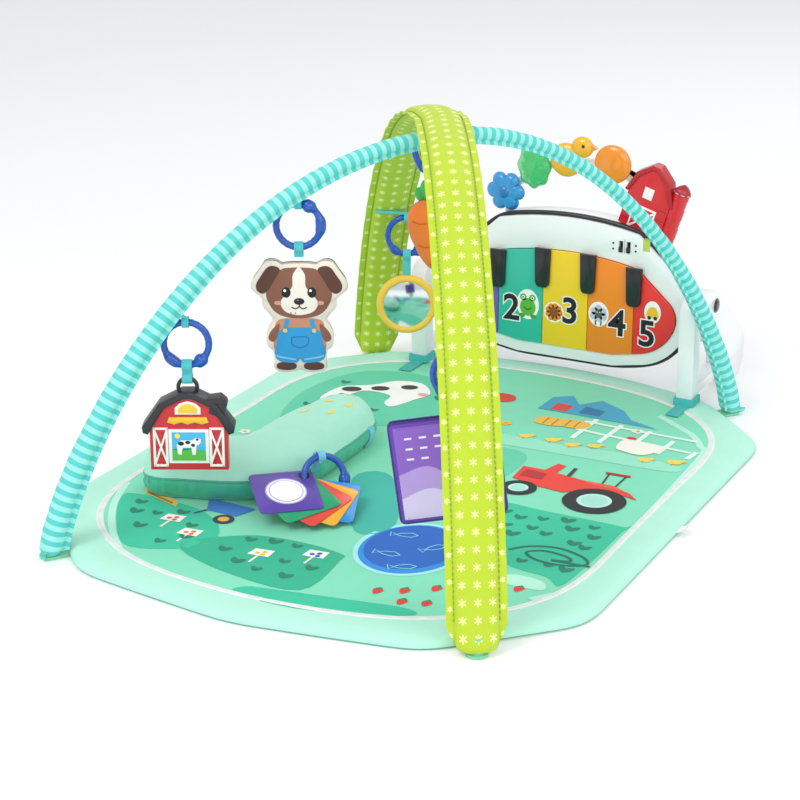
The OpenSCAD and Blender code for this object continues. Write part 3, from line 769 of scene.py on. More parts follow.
def tractor(sheet):
    """Tractor without a driver."""
    body = [(115, 21), (112, 62), (141, 62), (148, 89), (160, 86), (158, 59), (202, 51), (237, 52),
            (264, 38), (279, 22),
            (251, 30), (217, 31), (198, 13), (189, 5), (153, 9)]
    sheet.fill(body, "EC3B30", 4)
    sheet.fill([(196, 52), (238, 52), (262, 38), (240, 42), (206, 44)], "F15A44", 5)
    sheet.fill([(120, 30), (150, 29), (150, 50), (120, 54)], "B81F25", 5)
    sheet.line([(176, 54), (174, 84)], 5, "3A3A44", 5)
    sheet.fill([(214, 84), (246, 86), (244, 92), (212, 90)], "B81F25", 5)
    sheet.line([(222, 52), (218, 86)], 2.4, "2C3B44", 4)
    sheet.line([(240, 50), (240, 88)], 2.4, "2C3B44", 4)
    for x, y, r in ((135, -6, 23), (234, -3, 39)):
        sheet.fill(disc(x, y, r, count=36), "15191C", 5)
        sheet.fill(disc(x, y, r * 0.55, count=30), "BFEFE0", 6)
        sheet.fill(disc(x, y, r * 0.42, count=24), "A6E4D2", 7)


def hen_and_fence(sheet):
    """Hen, chicks and fence."""
    for x, y, r in ((72, 158, 9), (108, 161, 9), (137, 156, 9), (165, 165, 9), (276, 159, 10),
                    (240, 150, 9)):
        sheet.fill(disc(x, y, r, r * 0.72, 18), "FFD64A", 4)
        sheet.fill(disc(x + r * 0.8, y + r * 0.62, r * 0.42, count=14), "FFD64A", 5)
        sheet.fill([(x + r * 1.15, y + r * 0.6), (x + r * 1.7, y + r * 0.5), (x + r * 1.2, y + r * 0.35)],
                   "F07F2A", 6)
        sheet.line([(x, y - r * 0.6), (x, y - r * 1.15)], 1.4, "F07F2A", 6)
    hen = [(191, 175), (200, 166), (232, 163), (250, 196), (240, 186), (222, 184), (206, 196), (198, 209),
           (190, 200)]
    sheet.blob(hen, 5, "FBF6EC", 5)
    sheet.fill(disc(198, 212, 7, 5, 14), "E23C30", 6)
    for x, y, top in ((128, 179, 257), (165, 179, 252), (207, 177, 248), (246, 177, 228),
                      (286, 177, 205)):
        sheet.line([(x, y), (x + 4, top)], 7, "E9FBF4", 3)
    for line in ([(120, 243), (278, 240)], [(120, 212), (284, 199)]):
        sheet.line(line, 6, "E9FBF4", 3)


def barn_and_cow(sheet):
    """Barn, hay bales and cow."""
    barn = [(44, 262), (46, 310), (69, 326), (89, 298), (112, 326), (152, 303), (173, 275), (216, 259)]
    sheet.fill(barn, "3FA7CC", 3)
    sheet.fill([(60, 266), (60, 292), (84, 290), (84, 266)], "E04536", 4)
    sheet.fill([(100, 268), (100, 296), (130, 290), (130, 268)], "2477A8", 4)
    for x, y in ((80, 222), (110, 226)):
        sheet.blob([(x - 18, y - 12), (x + 18, y - 12), (x + 19, y + 12), (x - 18, y + 13)], 4, "F0C04A",
                   4)
        for dx in (-7, 6):
            sheet.line([(x + dx, y - 12), (x + dx, y + 12)], 2, "B5792A", 5)
    sheet.blob([(-36, 268), (-8, 262), (4, 276), (-6, 292), (-30, 290)], 5, "DC3E34", 3)
    cow = [(-237, 164), (-232, 214), (-197, 240), (-174, 269), (-138, 276), (-109, 244), (-118, 214),
           (-134, 176),
           (-150, 186), (-156, 214), (-196, 214), (-210, 176), (-224, 160)]
    sheet.blob(cow, 4, "FAFBF7", 4)
    for x, y, rx, ry in ((-214, 212, 14, 10), (-180, 232, 13, 9), (-146, 254, 12, 9), (-214, 182, 6, 10)):
        sheet.fill(disc(x, y, rx, ry, 18, 0.4), "33302E", 5)
    sheet.fill(disc(-116, 236, 8, 6, 14), "F3A7A0", 6)


def wheelbarrow(sheet):
    """Wheelbarrow, tools and flowers."""
    sheet.fill([(-184, -206), (-116, -211), (-127, -240), (-168, -238)], "3B82D6", 4)
    sheet.line([(-184, -206), (-206, -196)], 3.5, "2B4C8C", 4)
    sheet.line([(-168, -238), (-176, -254)], 3.5, "2B4C8C", 4)
    sheet.fill(disc(-135, -254, 13, count=20), "2B3350", 5)
    sheet.fill(disc(-135, -254, 7, count=16), "F1B33B", 6)
    sheet.fill([(-270, -217), (-262, -228), (-206, -248), (-209, -236), (-240, -218)], "E9C34A", 4)
    sheet.fill([(-264, -222), (-258, -228), (-214, -243), (-216, -238)], "A9702C", 5)
    for x, y, code in ((-262, 6, "F4F1E2"), (-250, -60, "F7C52D"), (196, 240, "F4F1E2"),
                       (30, 190, "F7C52D"), (-10, 60, "F4F1E2")):
        for petal_x, petal_y in disc(x, y, 5, count=5):
            sheet.fill(disc(petal_x, petal_y, 3.4, count=10), code, 3)
        sheet.fill(disc(x, y, 3, count=10), "F0A030", 4)


def farm_print():
    sheet = Print(mat_place, 16.0)
    for draw in (paths, fields, pond, fruit_and_signs, hose, tractor, hen_and_fence, barn_and_cow,
                 wheelbarrow):
        draw(sheet)
    sheet.finish("mat_farm_print", "mat", "mat_print")


farm_print()


def care_label():
    """Small folded label sewn into the mat's right edge."""
    shape = Shape()
    verts = []
    for i in range(13):
        t = i / 12
        for j in range(9):
            verts.append((347.5 + 13 * t, -34 + 22 * j / 8 + 1.2 * math.sin(3 * t), 5.2 + 4.5 * t * t +
                          0.5 * math.sin(j * 0.8) * t))
    faces = [[i * 9 + j, (i + 1) * 9 + j, (i + 1) * 9 + j + 1, i * 9 + j + 1] for i in range(12)
             for j in range(8)]
    shape.add(verts, faces, cloth("F6F6F2", weave=0.7))
    label = shape.build("mat_care_label", "mat", "white_piping", sharp=80)


care_label()


# ---- arches ----------------------------------------------------------------------------
GREEN_STEP = 6.0
TEAL_STEP = 4.0


def end_rounding(i, last, step):
    """1 along a sleeve, and less over its last 12 mm, so that its ends close like a cushion."""
    close = min(1.0, (max(0.0, min(i, last - i)) * step + 1.0) / 12)
    return math.sqrt(max(0.02, 1 - (1 - close) ** 2))


def arch_point(foot, height, angle):
    a = math.radians(angle)
    u = math.sin(a) ** 0.96
    return Vector((CROSSING[0] + (foot[0] - CROSSING[0]) * u, CROSSING[1] + (foot[1] - CROSSING[1]) * u,
                   height * max(math.cos(a), 0) ** 1.504))


def arch_line(near, far, height, low, step):
    """Evenly spaced points from one foot over the crossing to the other."""
    raw = [arch_point(near, height, 90 - k * 0.5) for k in range(181)]
    raw += [arch_point(far, height, k * 0.5) for k in range(1, 181)]
    raw = [p for p in raw if p.z > 27]
    raw = [Vector((near[0], near[1], low))] + raw + [Vector((far[0], far[1], low))]
    out = [raw[0]]
    travelled = 0.0
    goal = step
    for a, b in zip(raw, raw[1:]):
        d = (b - a).length
        while travelled + d >= goal:
            out.append(a.lerp(b, (goal - travelled) / d))
            goal += step
        travelled += d
    out.append(raw[-1])
    return out


def across_of(near, far):
    d = Vector((far[0] - near[0], far[1] - near[1], 0)).normalized()
    return Vector((d.y, -d.x, 0))


def arch_frames(path, side):
    for i, p in enumerate(path):
        t = (path[min(i + 1, len(path) - 1)] - path[max(i - 1, 0)]).normalized()
        if min(i, len(path) - 1 - i) < 3:
            t = Vector((0, 0, 1 if i < 3 else -1))
        yield i, p, t, side.cross(t).normalized()


def green_sleeve():
    near, far = FEET[1], FEET[3]
    side = across_of(near, far)
    path = arch_line(near, far, GREEN_HEIGHT, 2.0, GREEN_STEP)
    half_core, half_width = 46.5 / 2, 32.5
    columns = [-1, -0.985, -0.955, -0.86, -0.74, -0.724, -0.71, -0.66, -0.58, -0.46, -0.32, -0.16, 0]
    columns = columns + [-c for c in reversed(columns[:-1])]
    shape = Shape()
    verts, uvs = [], []
    last = len(path) - 1
    for i, p, t, n in arch_frames(path, side):
        rise = min(1.0, max(0.0, (p.z - 12) / 18))
        low = max(0.0, 1 - p.z / 70)
        round_off = end_rounding(i, last, GREEN_STEP)
        ridge = 0.8 * ripple(i * 0.23, 1.5, 0)
        ring = []
        for face in (1, -1):
            for c in (columns if face > 0 else columns[::-1][1:-1]):
                u = c * half_width
                flat = abs(u) / half_core
                thick = (9.0 + 4.6 * low) * max(0.0, 1 - flat ** 2.6) ** (1 / 2.6) if flat < 1 else 0.0
                pucker = 0.7 * ripple(u * 0.08, i * 0.55, 4 * face) + ridge * max(0.0, 1 - flat ** 2)
                v = face * max(1.1, thick + pucker * min(1.0, thick / 4))
                if flat > 1:
                    out = abs(u) - half_core
                    u = math.copysign(half_core + out * rise, u)
                    v += 0.9 * math.sin(i * 0.9) * out / 9
                ring.append((u * round_off, v * round_off))
        verts += [p + side * u + n * v for u, v in ring]
        uvs += [(u, i * GREEN_STEP) for u, v in ring]
    count = len(ring)
    faces = bands(count, last)
    faces += [list(range(count)), [last * count + k for k in range(count)][::-1]]
    shape.add(verts, faces, cloth("B9D22C", print_on=star_print), uv=uvs)
    sleeve = shape.build("green_sleeve_cloth", "arches", "lime_cloth", ["green_sleeve"], 75)
    stitches = Shape()
    thread = webbing("8FB01C")
    for i, p, t, n in arch_frames(path, side):
        if p.z < 34 or i >= last:
            continue
        for edge in (-1, 1):
            for face in (-1, 1):
                mid = p + side * edge * (half_core + 1.2) + n * face * 1.7
                box = [mid + t * a * 1.7 + side * b * 0.45 + n * c * 0.35 for a in (-1, 1)
                       for b in (-1, 1) for c in (-1, 1)]
                stitches.add(box, [[0, 1, 3, 2], [4, 6, 7, 5], [0, 4, 5, 1], [2, 3, 7, 6], [0, 2, 6, 4],
                                   [1, 5, 7, 3]], thread)
    stitches.build("green_sleeve_stitches", "arches", "lime_cloth")


def teal_sleeve():
    near, far = FEET[0], FEET[2]
    side = across_of(near, far)
    path = arch_line(near, far, TEAL_HEIGHT, 2.0, TEAL_STEP)
    last = len(path) - 1
    count = 28
    shape = Shape()
    verts, uvs = [], []
    fin, fin_uv = [], []
    for i, p, t, n in arch_frames(path, side):
        foot = max(0.0, 1 - max(p.z - 20, 0) / 330)
        wide = 10.6 + 5.2 * foot
        deep = 8.2 + 4.6 * foot
        round_off = end_rounding(i, last, TEAL_STEP)
        for a in around(count):
            wrinkle = 1 + 0.05 * ripple(math.cos(a) * 1.3, math.sin(a) * 1.3, i * 0.3)
            u = wide * math.copysign(abs(math.cos(a)) ** 0.9, math.cos(a)) * wrinkle * round_off
            v = deep * math.copysign(abs(math.sin(a)) ** 0.9, math.sin(a)) * wrinkle * round_off
            verts.append(p + side * u + n * v)
            uvs.append((u, i * TEAL_STEP))
        way = (side * (0.62 if side.x > 0 else -0.62) - n * 0.78 * (1 if n.z > 0 else -1)).normalized()
        reach = 8.2 + 4 * foot
        width = (6.0 + 3.0 * foot) * round_off
        flat = way.cross(t).normalized()
        rims = [(0, 1.2), (width * 0.9, 0.9), (width, 0.5)]
        fin += [p + way * (reach + out) + flat * half for out, half in rims]
        fin += [p + way * (reach + out) - flat * half for out, half in reversed(rims)]
        fin_uv += [(0, i * TEAL_STEP)] * 6
    faces = bands(count, last)
    faces += [list(range(count)), [last * count + k for k in range(count)][::-1]]
    striped = cloth("55CBC6", print_on=stripe_print)
    shape.add(verts, faces, striped, uv=uvs)
    fin_faces = bands(6, last) + [list(range(6)), [last * 6 + k for k in range(6)][::-1]]
    shape.add(fin, fin_faces, striped, uv=fin_uv)
    sleeve = shape.build("teal_sleeve_cloth", "arches", "striped_cloth", ["teal_sleeve", "sleeve_feet"],
                         70)


green_sleeve()
teal_sleeve()
dress("arch_rods", plastic("D8D8D8"))
dress("arch_fittings", plastic("5C6364"))
for node in ("barn_strap", "puppy_strap", "mirror_strap"):
    rounded(node, webbing("52CDD2"), 0.4)
rounded("sleeve_loops", webbing("52CDD2"), 0.4, lambda c, n: int(c.x > 90 and c.y > 100),
        mats=[webbing("CFE36A")])


# ---- link rings ------------------------------------------------------------------------
def toy_place(name):
    top = Vector(JOINTS[name + "_ring_swing"]["pos_m"]) / MM
    return Matrix.Translation(top - Vector((0, 0, 2 * LINK_RADIUS))) @ Matrix.Rotation(TOY_TURN, 4, "Z")


BLUE = plastic("0A4FAE", rough=0.28, coat=0.4)


def link_ring(toy, lumps):
    """Open link with thicker places. lumps are (angle, extra radius, spread)."""
    shape = Shape()
    path, sizes = [], []
    for turn in around(96):
        a = math.degrees(turn)
        grow = 0.0
        for at, extra, spread in lumps:
            off = (a - at + 180) % 360 - 180
            grow = max(grow, extra * math.exp(-(off / spread) ** 4))
        ridge = 0.15 * math.cos(math.radians(a * 24)) if grow < 0.5 else 0.0
        path.append((LINK_RADIUS * math.cos(turn), 0, LINK_RADIUS * (1 + math.sin(turn))))
        sizes.append(LINK_WIRE + grow + ridge)
    tube(shape, path, sizes, BLUE, toy_place(toy), 18, True)
    shape.build(toy + "_link", toy + "_ring", "blue_plastic", [toy + "_ring"], 60)


link_ring("barn", [(-52, 3.8, 14), (-130, 2.4, 20)])
link_ring("puppy", [(62, 3.6, 14), (0, 2.2, 22)])
for toy in ("mirror", "carrot", "book"):
    link_ring(toy, [(-52, 3.6, 14), (-128, 2.2, 14)])


# ---- barn toy --------------------------------------------------------------------------
def gambrel(half, low, eave, peak):
    """Outline of a barn front, with a roof that bends at the knee."""
    knee_x, knee_z = half * 0.62, eave + (peak - eave) * 0.68
    return [(-half, low), (half, low), (half, eave), (knee_x, knee_z), (half * 0.1, peak),
            (-half * 0.1, peak),
            (-knee_x, knee_z), (-half, eave)]


def barn_toy():
    place = toy_place("barn")
    red = plastic("D3202E", rough=0.35)
    white = plastic("F4F2EC", rough=0.4)
    black = plastic("23232B", rough=0.35)
    body = Shape()
    slab(body, gambrel(45.5, -127, -77, -37.5), -10, 10, red, place, 1.6)
    # darker red strips over the wall are painted shade standing for the moulded grooves
    groove_shade = plastic("A31521")
    for x in (-40, -30, 30, 40):
        slab(body, box(x - 0.5, x + 0.5, -124, -80), -10.5, -9.5, groove_shade, place, 0.2)
    for z in (-98, -110):
        for x in (-41, 22):
            slab(body, box(x, x + 19, z - 0.5, z + 0.5), -10.6, -9.5, groove_shade, place, 0.2)
    body.build("barn_walls", "barn", "red_plastic", ["barn_body"])
    roof = Shape()
    outer = [(53, -80), (54, -73), (33.5, -44), (7, -30.5), (-7, -30.5), (-33.5, -44), (-54, -73),
             (-53, -80), (-47, -82),
             (-28.5, -50), (-5, -38), (5, -38), (28.5, -50), (47, -82)]
    slab(roof, outer, -13, 13, black, place, 1.2)
    loop = [(x, 0, z) for x, z in disc(0, -27, 11, count=40)]
    tube(roof, loop, 2.4, black, place, 12, True)
    slab(roof, [(24, -56), (43, -64), (45, -46), (42, -42), (27, -40)], -11, 6, black, place, 0.8)
    slab(roof, [(22, -42), (46, -46), (45, -42), (38, -36), (24, -38)], -12.5, 7.5, black, place, 0.6)
    roof.build("barn_roof_cap", "barn", "black_plastic", ["barn_roof"])
    trim = Shape()
    for side in (-1, 1):
        for x0, x1, z0, z1 in ((24, 27, -121.6, -73.6), (38.5, 41.5, -121.6, -73.6),
                               (24, 41.5, -76.2, -73.4), (24, 41.5, -122, -119.2)):
            slab(trim, box(*sorted((side * x0, side * x1)), z0, z1), -11.6, -9.8, white, place, 0.5)
        for z0, z1, front in ((-120, -76, -11.3), (-76, -120, -11.2)):
            slab(trim, strip([(side * 25, z0), (side * 40, z1)], 2.4), front, -9.8, white, place, 0.4)
    slab(trim, gambrel(15, -57, -49, -41), -11.8, -9.8, white, place, 0.5)
    slab(trim, gambrel(11, -55, -49.5, -43.5), -12.4, -11.0, plastic("F7C83A"), place, 0.3)
    slab(trim, box(-23.5, 23.5, -118, -75.5), -11.0, -9.6, white, place, 0.5)
    canopy = [(-22, -60), (22, -60), (24, -66)]
    for k in range(6, -1, -1):
        canopy.append((-24 + 8 * k, -66 - (2.6 if k % 2 else 0)))
    slab(trim, canopy, -14, -10.5, plastic("F7C02B", rough=0.35), place, 0.6)
    trim.build("barn_white_trim", "barn", "yellow_plastic", ["barn_trim"])
    picture = Shape()
    slab(picture, box(-19.6, 19.6, -114.6, -79.2), -11.4, -8.6, plastic("3FB4E4", rough=0.2), place, 0.3)
    art = Print(on_face(place, -11.4), 60.0)
    art.fill([(-19.4, -114.4), (19.4, -114.4), (19.4, -103), (6, -99), (-8, -103), (-19.4, -100)],
             "58B947", 0)
    cow = [(-13, -106), (-14, -94), (-9, -89), (4, -89), (8, -86), (14, -87), (14.5, -93), (9, -95),
           (7.5, -107), (4, -107), (3, -98),
           (-7, -98), (-9, -107)]
    art.fill(cow, "FBFBF8", 1)
    for x, z, rx, rz in ((-9, -93, 3.6, 2.6), (-1, -91.5, 3, 2.2), (5, -95, 2.4, 2), (10, -88, 1.8, 1.4)):
        art.fill(disc(x, z, rx, rz, 12), "2A2A2E", 2)
    art.fill(disc(14, -92, 1.8, 1.3, 10), "F2A59C", 3)
    art.fill(disc(-13, -83.5, 3.2, count=14), "FFE06B", 1)
    picture.build("barn_picture_plate", "barn", "picture_blue", ["barn_picture"])
    art.finish("barn_picture_print", "barn", "picture_blue")


barn_toy()


# ---- puppy -----------------------------------------------------------------------------
def even(half):
    """Whole outline from the right half, from top middle to bottom middle."""
    return half + [(-x, z) for x, z in reversed(half) if x > 0.5]


def settle(obj, pressure, frames, pinned=None):
    """Lets a stuffed form swell under its filling, and keeps the result."""
    mod = obj.modifiers.new("filling", "CLOTH")
    setting = mod.settings
    setting.quality = 7
    setting.mass = 0.25
    setting.air_damping = 4
    for kind in ("tension", "compression", "shear"):
        setattr(setting, kind + "_stiffness", 22.0)
    setting.bending_stiffness = 0.6
    setting.tension_damping = 12
    setting.compression_damping = 12
    setting.use_pressure = True
    setting.uniform_pressure_force = pressure
    setting.effector_weights.gravity = 0
    mod.collision_settings.use_collision = False
    mod.collision_settings.use_self_collision = False
    if pinned is not None:
        group = obj.vertex_groups.new(name="held")
        group.add(pinned, 1.0, "REPLACE")
        setting.vertex_group_mass = "held"
        setting.pin_stiffness = 1
    mod.point_cache.frame_start = 1
    mod.point_cache.frame_end = frames
    for k in range(1, frames + 1):
        scene.frame_set(k)
    shown = obj.evaluated_get(bpy.context.evaluated_depsgraph_get())
    moved = [v.co.copy() for v in shown.data.vertices]
    obj.modifiers.remove(mod)
    scene.frame_set(1)
    for vertex, place in zip(obj.data.vertices, moved):
        if (place - vertex.co).length < STRAY_POINT:
            vertex.co = place
    obj.data.update()


def puppy():
    place = toy_place("puppy")
    half = [(0, -19), (12, -19), (20, -20), (27, -15.5), (38, -17), (46, -28), (54, -40), (56, -49),
            (50, -56), (43, -60), (42, -70),
            (35, -80), (31, -88), (36, -98), (39, -110), (37, -121), (31, -127), (30, -140), (30, -149),
            (20, -152), (6, -151), (0, -149)]
    outline = smooth(even(half), 4)
    shape = Shape()
    cream = cloth("F5E9DA", weave=0.8)
    cushion(shape, outline, 0, 12.0, 10.0, [cream, cloth("3D8FC9", weave=0.8)], place, 10, 2.4, (0, -82))
    body = shape.build("puppy_plush_body", "puppy", "plush_brown", ["puppy_plush"], 70)
    settle(body, 2.0, 16)
    art = Print(on_piece(body, place), 3.0, 0.5)
    brown, dark, cream_code, blue = "8A5A48", "5E3A31", "F7EEE2", "2F9AD6"
    art.blob([(-30, -30), (-16, -23), (16, -23), (30, -30), (37, -44), (38, -58), (30, -74), (14, -82),
              (-14, -82), (-30, -74),
                     (-38, -58), (-37, -44)], 5, brown, 0)
    art.blob([(0, -22), (7, -30), (8, -44), (16, -54), (22, -64), (16, -75), (0, -79), (-16, -75),
              (-22, -64), (-16, -54),
                     (-8, -44), (-7, -30)], 5, cream_code, 1)
    for s in (-1, 1):
        art.blob([(s * 22, -24), (s * 29, -20), (s * 37, -22), (s * 44, -32), (s * 50, -42),
                  (s * 49, -50), (s * 42, -53),
                         (s * 35, -47), (s * 29, -36)], 5, dark, 2)
        art.fill(disc(s * 15, -51, 5.2, 6.4, 20), "1E1A1C", 3)
        art.fill(disc(s * 15 - 1.6, -48.6, 1.7, count=12), WHITE_CODE, 4)
        art.fill(disc(s * 25, -64, 4.2, 2.8, 14), "E59A8E", 3)
        art.curve([(0, -68), (s * 4, -71), (s * 9, -69)], 4, 1.3, "2B2022", 4)
        art.blob([(s * 24, -90), (s * 34, -100), (s * 37, -110), (s * 30, -112), (s * 25, -102)], 4,
                 brown, 1)
        art.blob([(s * 5, -140), (s * 16, -137), (s * 27, -140), (s * 27, -147), (s * 16, -149),
                  (s * 6, -147)], 4, dark, 1)
        art.line([(s * 14, -84), (s * 17, -97)], 5, blue, 3)
        art.fill(disc(s * 17, -98, 2.6, count=12), "F7C63A", 5)
    art.fill(disc(0, -62, 6.2, 4.2, 20), "2B2022", 3)
    art.fill(disc(-1.6, -60.6, 1.5, 0.8, 10), "8C8084", 4)
    art.line([(0, -65), (0, -69)], 1.3, "2B2022", 4)
    art.blob([(-25, -86), (0, -83), (25, -86), (30, -104), (28, -128), (0, -134), (-28, -128),
              (-30, -104)], 5, "C98C6E", 0)
    art.blob([(-20, -96), (20, -96), (27, -112), (29, -134), (4, -138), (0, -130), (-4, -138),
              (-29, -134),
              (-27, -112)], 3, blue, 2)
    art.curve([(-9, -106), (-9, -115), (0, -119), (9, -115), (9, -106), (-9, -106)], 4, 1.2, "1D6FA8", 3)
    for s in (-1, 1):
        art.line([(s * 28, -130), (s * 5, -134)], 2.2, "7FC6EE", 3)
    art.finish("puppy_print", "puppy", "plush_brown")
    seam = Shape()
    tube(seam, [(x, 0, z) for x, z in outline], 1.0, webbing("E7D6C2"), place, 8, True)
    seam.build("puppy_seam", "puppy", "plush_brown", sharp=80)


puppy()


# ---- mirror toy ------------------------------------------------------------------------
def mirror_toy():
    place = toy_place("mirror")
    z = -72
    shape = Shape()
    count, rows = 72, 14
    verts = []
    for a in around(count):
        pucker = 1 + 0.02 * math.cos(a * 18)
        for b in around(rows):
            reach = 36.5 + 5.5 * pucker * math.cos(b)
            verts.append((reach * math.cos(a), 7.2 * math.sin(b) * pucker, z + reach * math.sin(a)))
    shape.add(verts, bands(rows, count - 1, closed=True), cloth("F5C84B", weave=0.9), place)
    slab(shape, disc(0, z, 33.5, count=48), 1.5, 6.5, cloth("F2B23A"), place, 0.6)
    ring = shape.build("mirror_soft_frame", "mirror", "yellow_cloth", ["mirror_frame"], 70)
    glass = Shape()
    slab(glass, disc(0, z, 32.5, count=64), -4.2, -1.6,
         material("DDE6EA", rough=0.1, depth=0.01, metal=1.0, mottle=0.02), place, 0.4)
    glass.build("mirror_film_disc", "mirror", "mirror_film", ["mirror_disc"])


mirror_toy()


# ---- carrot toy ------------------------------------------------------------------------
def carrot_toy():
    place = toy_place("carrot")
    half = [(0, -37), (16, -36), (28, -40), (34.5, -50), (34.5, -62), (30, -78), (23, -94), (15, -110),
            (8, -121), (0, -125.5)]
    outline = smooth(even(half), 5)
    shape = Shape()
    orange = cloth("F5802A", weave=0.8)
    cushion(shape, outline, 0, 20, 20, [orange, orange], place, 11, 2.2, (0, -68))
    root = shape.build("carrot_plush_root", "carrot", "orange_rubber", ["carrot_root"], 70)
    settle(root, 2.0, 14)
    # darker orange curves across the root are painted shade of creases that the cushion does not model
    crease_shade = Print(on_piece(root, place), 3.0, 0.4)
    for x0, x1, z in ((-30, -12, -58), (10, 27, -70), (-22, -8, -88), (4, 14, -100), (-9, -2, -112)):
        crease_shade.curve([(x0, z), ((x0 + x1) / 2, z - 2.4), (x1, z - 1)], 4, 1.7, "D9621A", 1)
    crease_shade.finish("carrot_crease_shade", "carrot", "orange_rubber")
    leaves = Shape()
    green = cloth("4DB857", weave=0.8)
    for angle, length, y in ((-52, 32, 4), (-26, 36, -3), (0, 34, 2), (26, 36, -4), (52, 32, 3)):
        half = [(4, 0), (8, length * 0.35), (9, length * 0.75)]
        leaf = half + [(0, length)] + [(-x, z) for x, z in reversed(half)]
        leaf = turned(leaf, 0, -42, -math.radians(angle))
        cushion(leaves, smooth(leaf, 4), y, 3.4, 3.4, [green, cloth("3A9F49")], place, 5, 2.0)
    tuft = leaves.build("carrot_leaves", "carrot", "leaf_cloth", ["carrot_top"], 70)


carrot_toy()


# ---- cloth book ------------------------------------------------------------------------
def book_toy():
    place = toy_place("book") @ Matrix.Rotation(math.radians(-7.5), 4, "Y")
    left, right, top, low = -79, 39, -21, -139
    purple = cloth("5C3AA6", weave=0.9)

    def page(name, front, back, body, node, code):
        outline = []
        for cx, cz, start in ((right - 6, top - 6, 0), (left + 6, top - 6, 90),
                              (left + 6, low + 6, 180), (right - 6, low + 6, 270)):
            corner = [math.radians(start + a) for a in (0, 30, 60, 90)]
            outline += [(cx + 6 * math.cos(a), cz + 6 * math.sin(a)) for a in corner]
        edges = []
        for i, p in enumerate(outline):
            q = outline[(i + 1) % len(outline)]
            steps = max(1, int((Vector(q) - Vector(p)).length / 7))
            edges += [tuple(Vector(p).lerp(Vector(q), k / steps)) for k in range(steps)]
        shape = Shape()
        cushion(shape, edges, (front + back) / 2, (back - front) / 2, (back - front) / 2,
                [cloth(code, weave=0.9), purple], place, 9, 3.6)
        tube(shape, [(x, (front + back) / 2, z) for x, z in edges], 1.2, webbing("4A2C8C"), place, 8,
             True)
        obj = shape.build(name, body, "book_cloth", [node], 70)
        return obj
    cover = page("book_front_page", -7.4, -0.4, "book", "book_front", "6A45B4")
    page("book_back_page", 0.6, 5.2, "book_cover", "book_back", "5C3AA6")
    art = Print(on_piece(cover, place), 6.0, 0.3)
    sky = [(left + 5, top - 5), (right - 5, top - 5), (right - 5, low + 34), (10, low + 50),
           (-30, low + 40),
           (left + 5, low + 58)]
    art.fill(sky, "8E63C9", 0)
    far_hill = [(left + 5, low + 58), (-40, low + 66), (-6, low + 44), (20, low + 58),
                (right - 5, low + 52)]
    near_hill = [(left + 5, low + 30), (-40, low + 40), (0, low + 22), (right - 5, low + 34)]
    for layer, (hill, code) in enumerate(((far_hill, "B99AE2"), (near_hill, "D9C8F2")), 1):
        art.fill(smooth(hill, 6, False) + [(right - 5, low + 5), (left + 5, low + 5)], code, layer)
    for k in range(3):
        for j in range(4 - k):
            x, z = left + 20 + 16 * j, top - 18 - 12 * k
            art.line([(x - 4, z), (x + 4, z)], 2.4, "F2E9FB", 2)
    tractor = [(-26, -108), (-26, -92), (-14, -92), (-10, -78), (-4, -79), (-6, -92), (14, -95),
               (20, -98), (20, -110), (-6, -114)]
    art.fill([(x + 8, z) for x, z in tractor], "E0342F", 4)
    for x, z, r in ((-12, -113, 9), (20, -111, 13)):
        art.fill(disc(x, z, r, count=26), "26303A", 5)
        art.fill(disc(x, z, r * 0.55, count=20), "F3922B", 6)
        art.fill(disc(x, z, r * 0.25, count=14), "FBE3C0", 7)
    art.finish("book_cover_print", "book", "book_cloth")
    loop = Shape()
    tie = toy_place("book")
    for x in (-4.5, -1.5, 1.5, 4.5):
        tube(loop, [(x, y, z) for y, z in disc(0, 0, 6)], 1.5, webbing("52CDD2"), tie, 6, True)
    slab(loop, box(-5.8, 5.8, -30, -5.5), -3.0, 0.2, webbing("52CDD2"), tie, 0.4)
    loop.build("book_ring_tie", "book", "teal_webbing", sharp=70)


book_toy()


# ---- pillow ----------------------------------------------------------------------------
PILLOW_SPOTS = [(-236, -191, 43), (-153, -139, 56), (-141, -40, 56), (-134, 32, 46)]
PILLOW_BASE = 13.2
PILLOW_SEAM = 38.0
PILLOW_TOP = 72.0
PILLOW_HEART = 27.0


def pillow_frame():
    """Even rows along the pillow: middle, sideways direction, half width, end roundness."""
    spine = smooth([(x, y) for x, y, r in PILLOW_SPOTS], 24, False)
    wide = smooth([(i, r) for i, (x, y, r) in enumerate(PILLOW_SPOTS)], 24, False)
    points = [Vector(p) for p in spine]
    lengths = [0.0]
    for a, b in zip(points, points[1:]):
        lengths.append(lengths[-1] + (b - a).length)
    total = lengths[-1]
    first, last = PILLOW_SPOTS[0][2], PILLOW_SPOTS[-1][2]
    rows = []
    count = 112
    for k in range(count + 1):
        # Closer rows towards the ends
        t = 0.5 - 0.5 * math.cos(math.pi * k / count)
        s = -first + t * (total + first + last)
        near = min(max(s, 0), total)
        i = max(0, min(len(points) - 2, next((j for j, v in enumerate(lengths) if v > near), len(points) -
                                             1) - 1))
        f = (near - lengths[i]) / (lengths[i + 1] - lengths[i])
        mid = points[i].lerp(points[i + 1], f)
        way = (points[min(i + 2, len(points) - 1)] - points[max(i - 1, 0)]).normalized()
        half = wide[i][1] + (wide[i + 1][1] - wide[i][1]) * f
        mid = mid + way * (s - near)
        end = first if s < 0 else last
        shrink = math.sqrt(max(0.0, 1 - ((s - near) / end) ** 2)) if s != near else 1.0
        rows.append((mid, Vector((way.y, -way.x)), half * max(shrink, 0.03), max(shrink, 0.03)))
    return rows


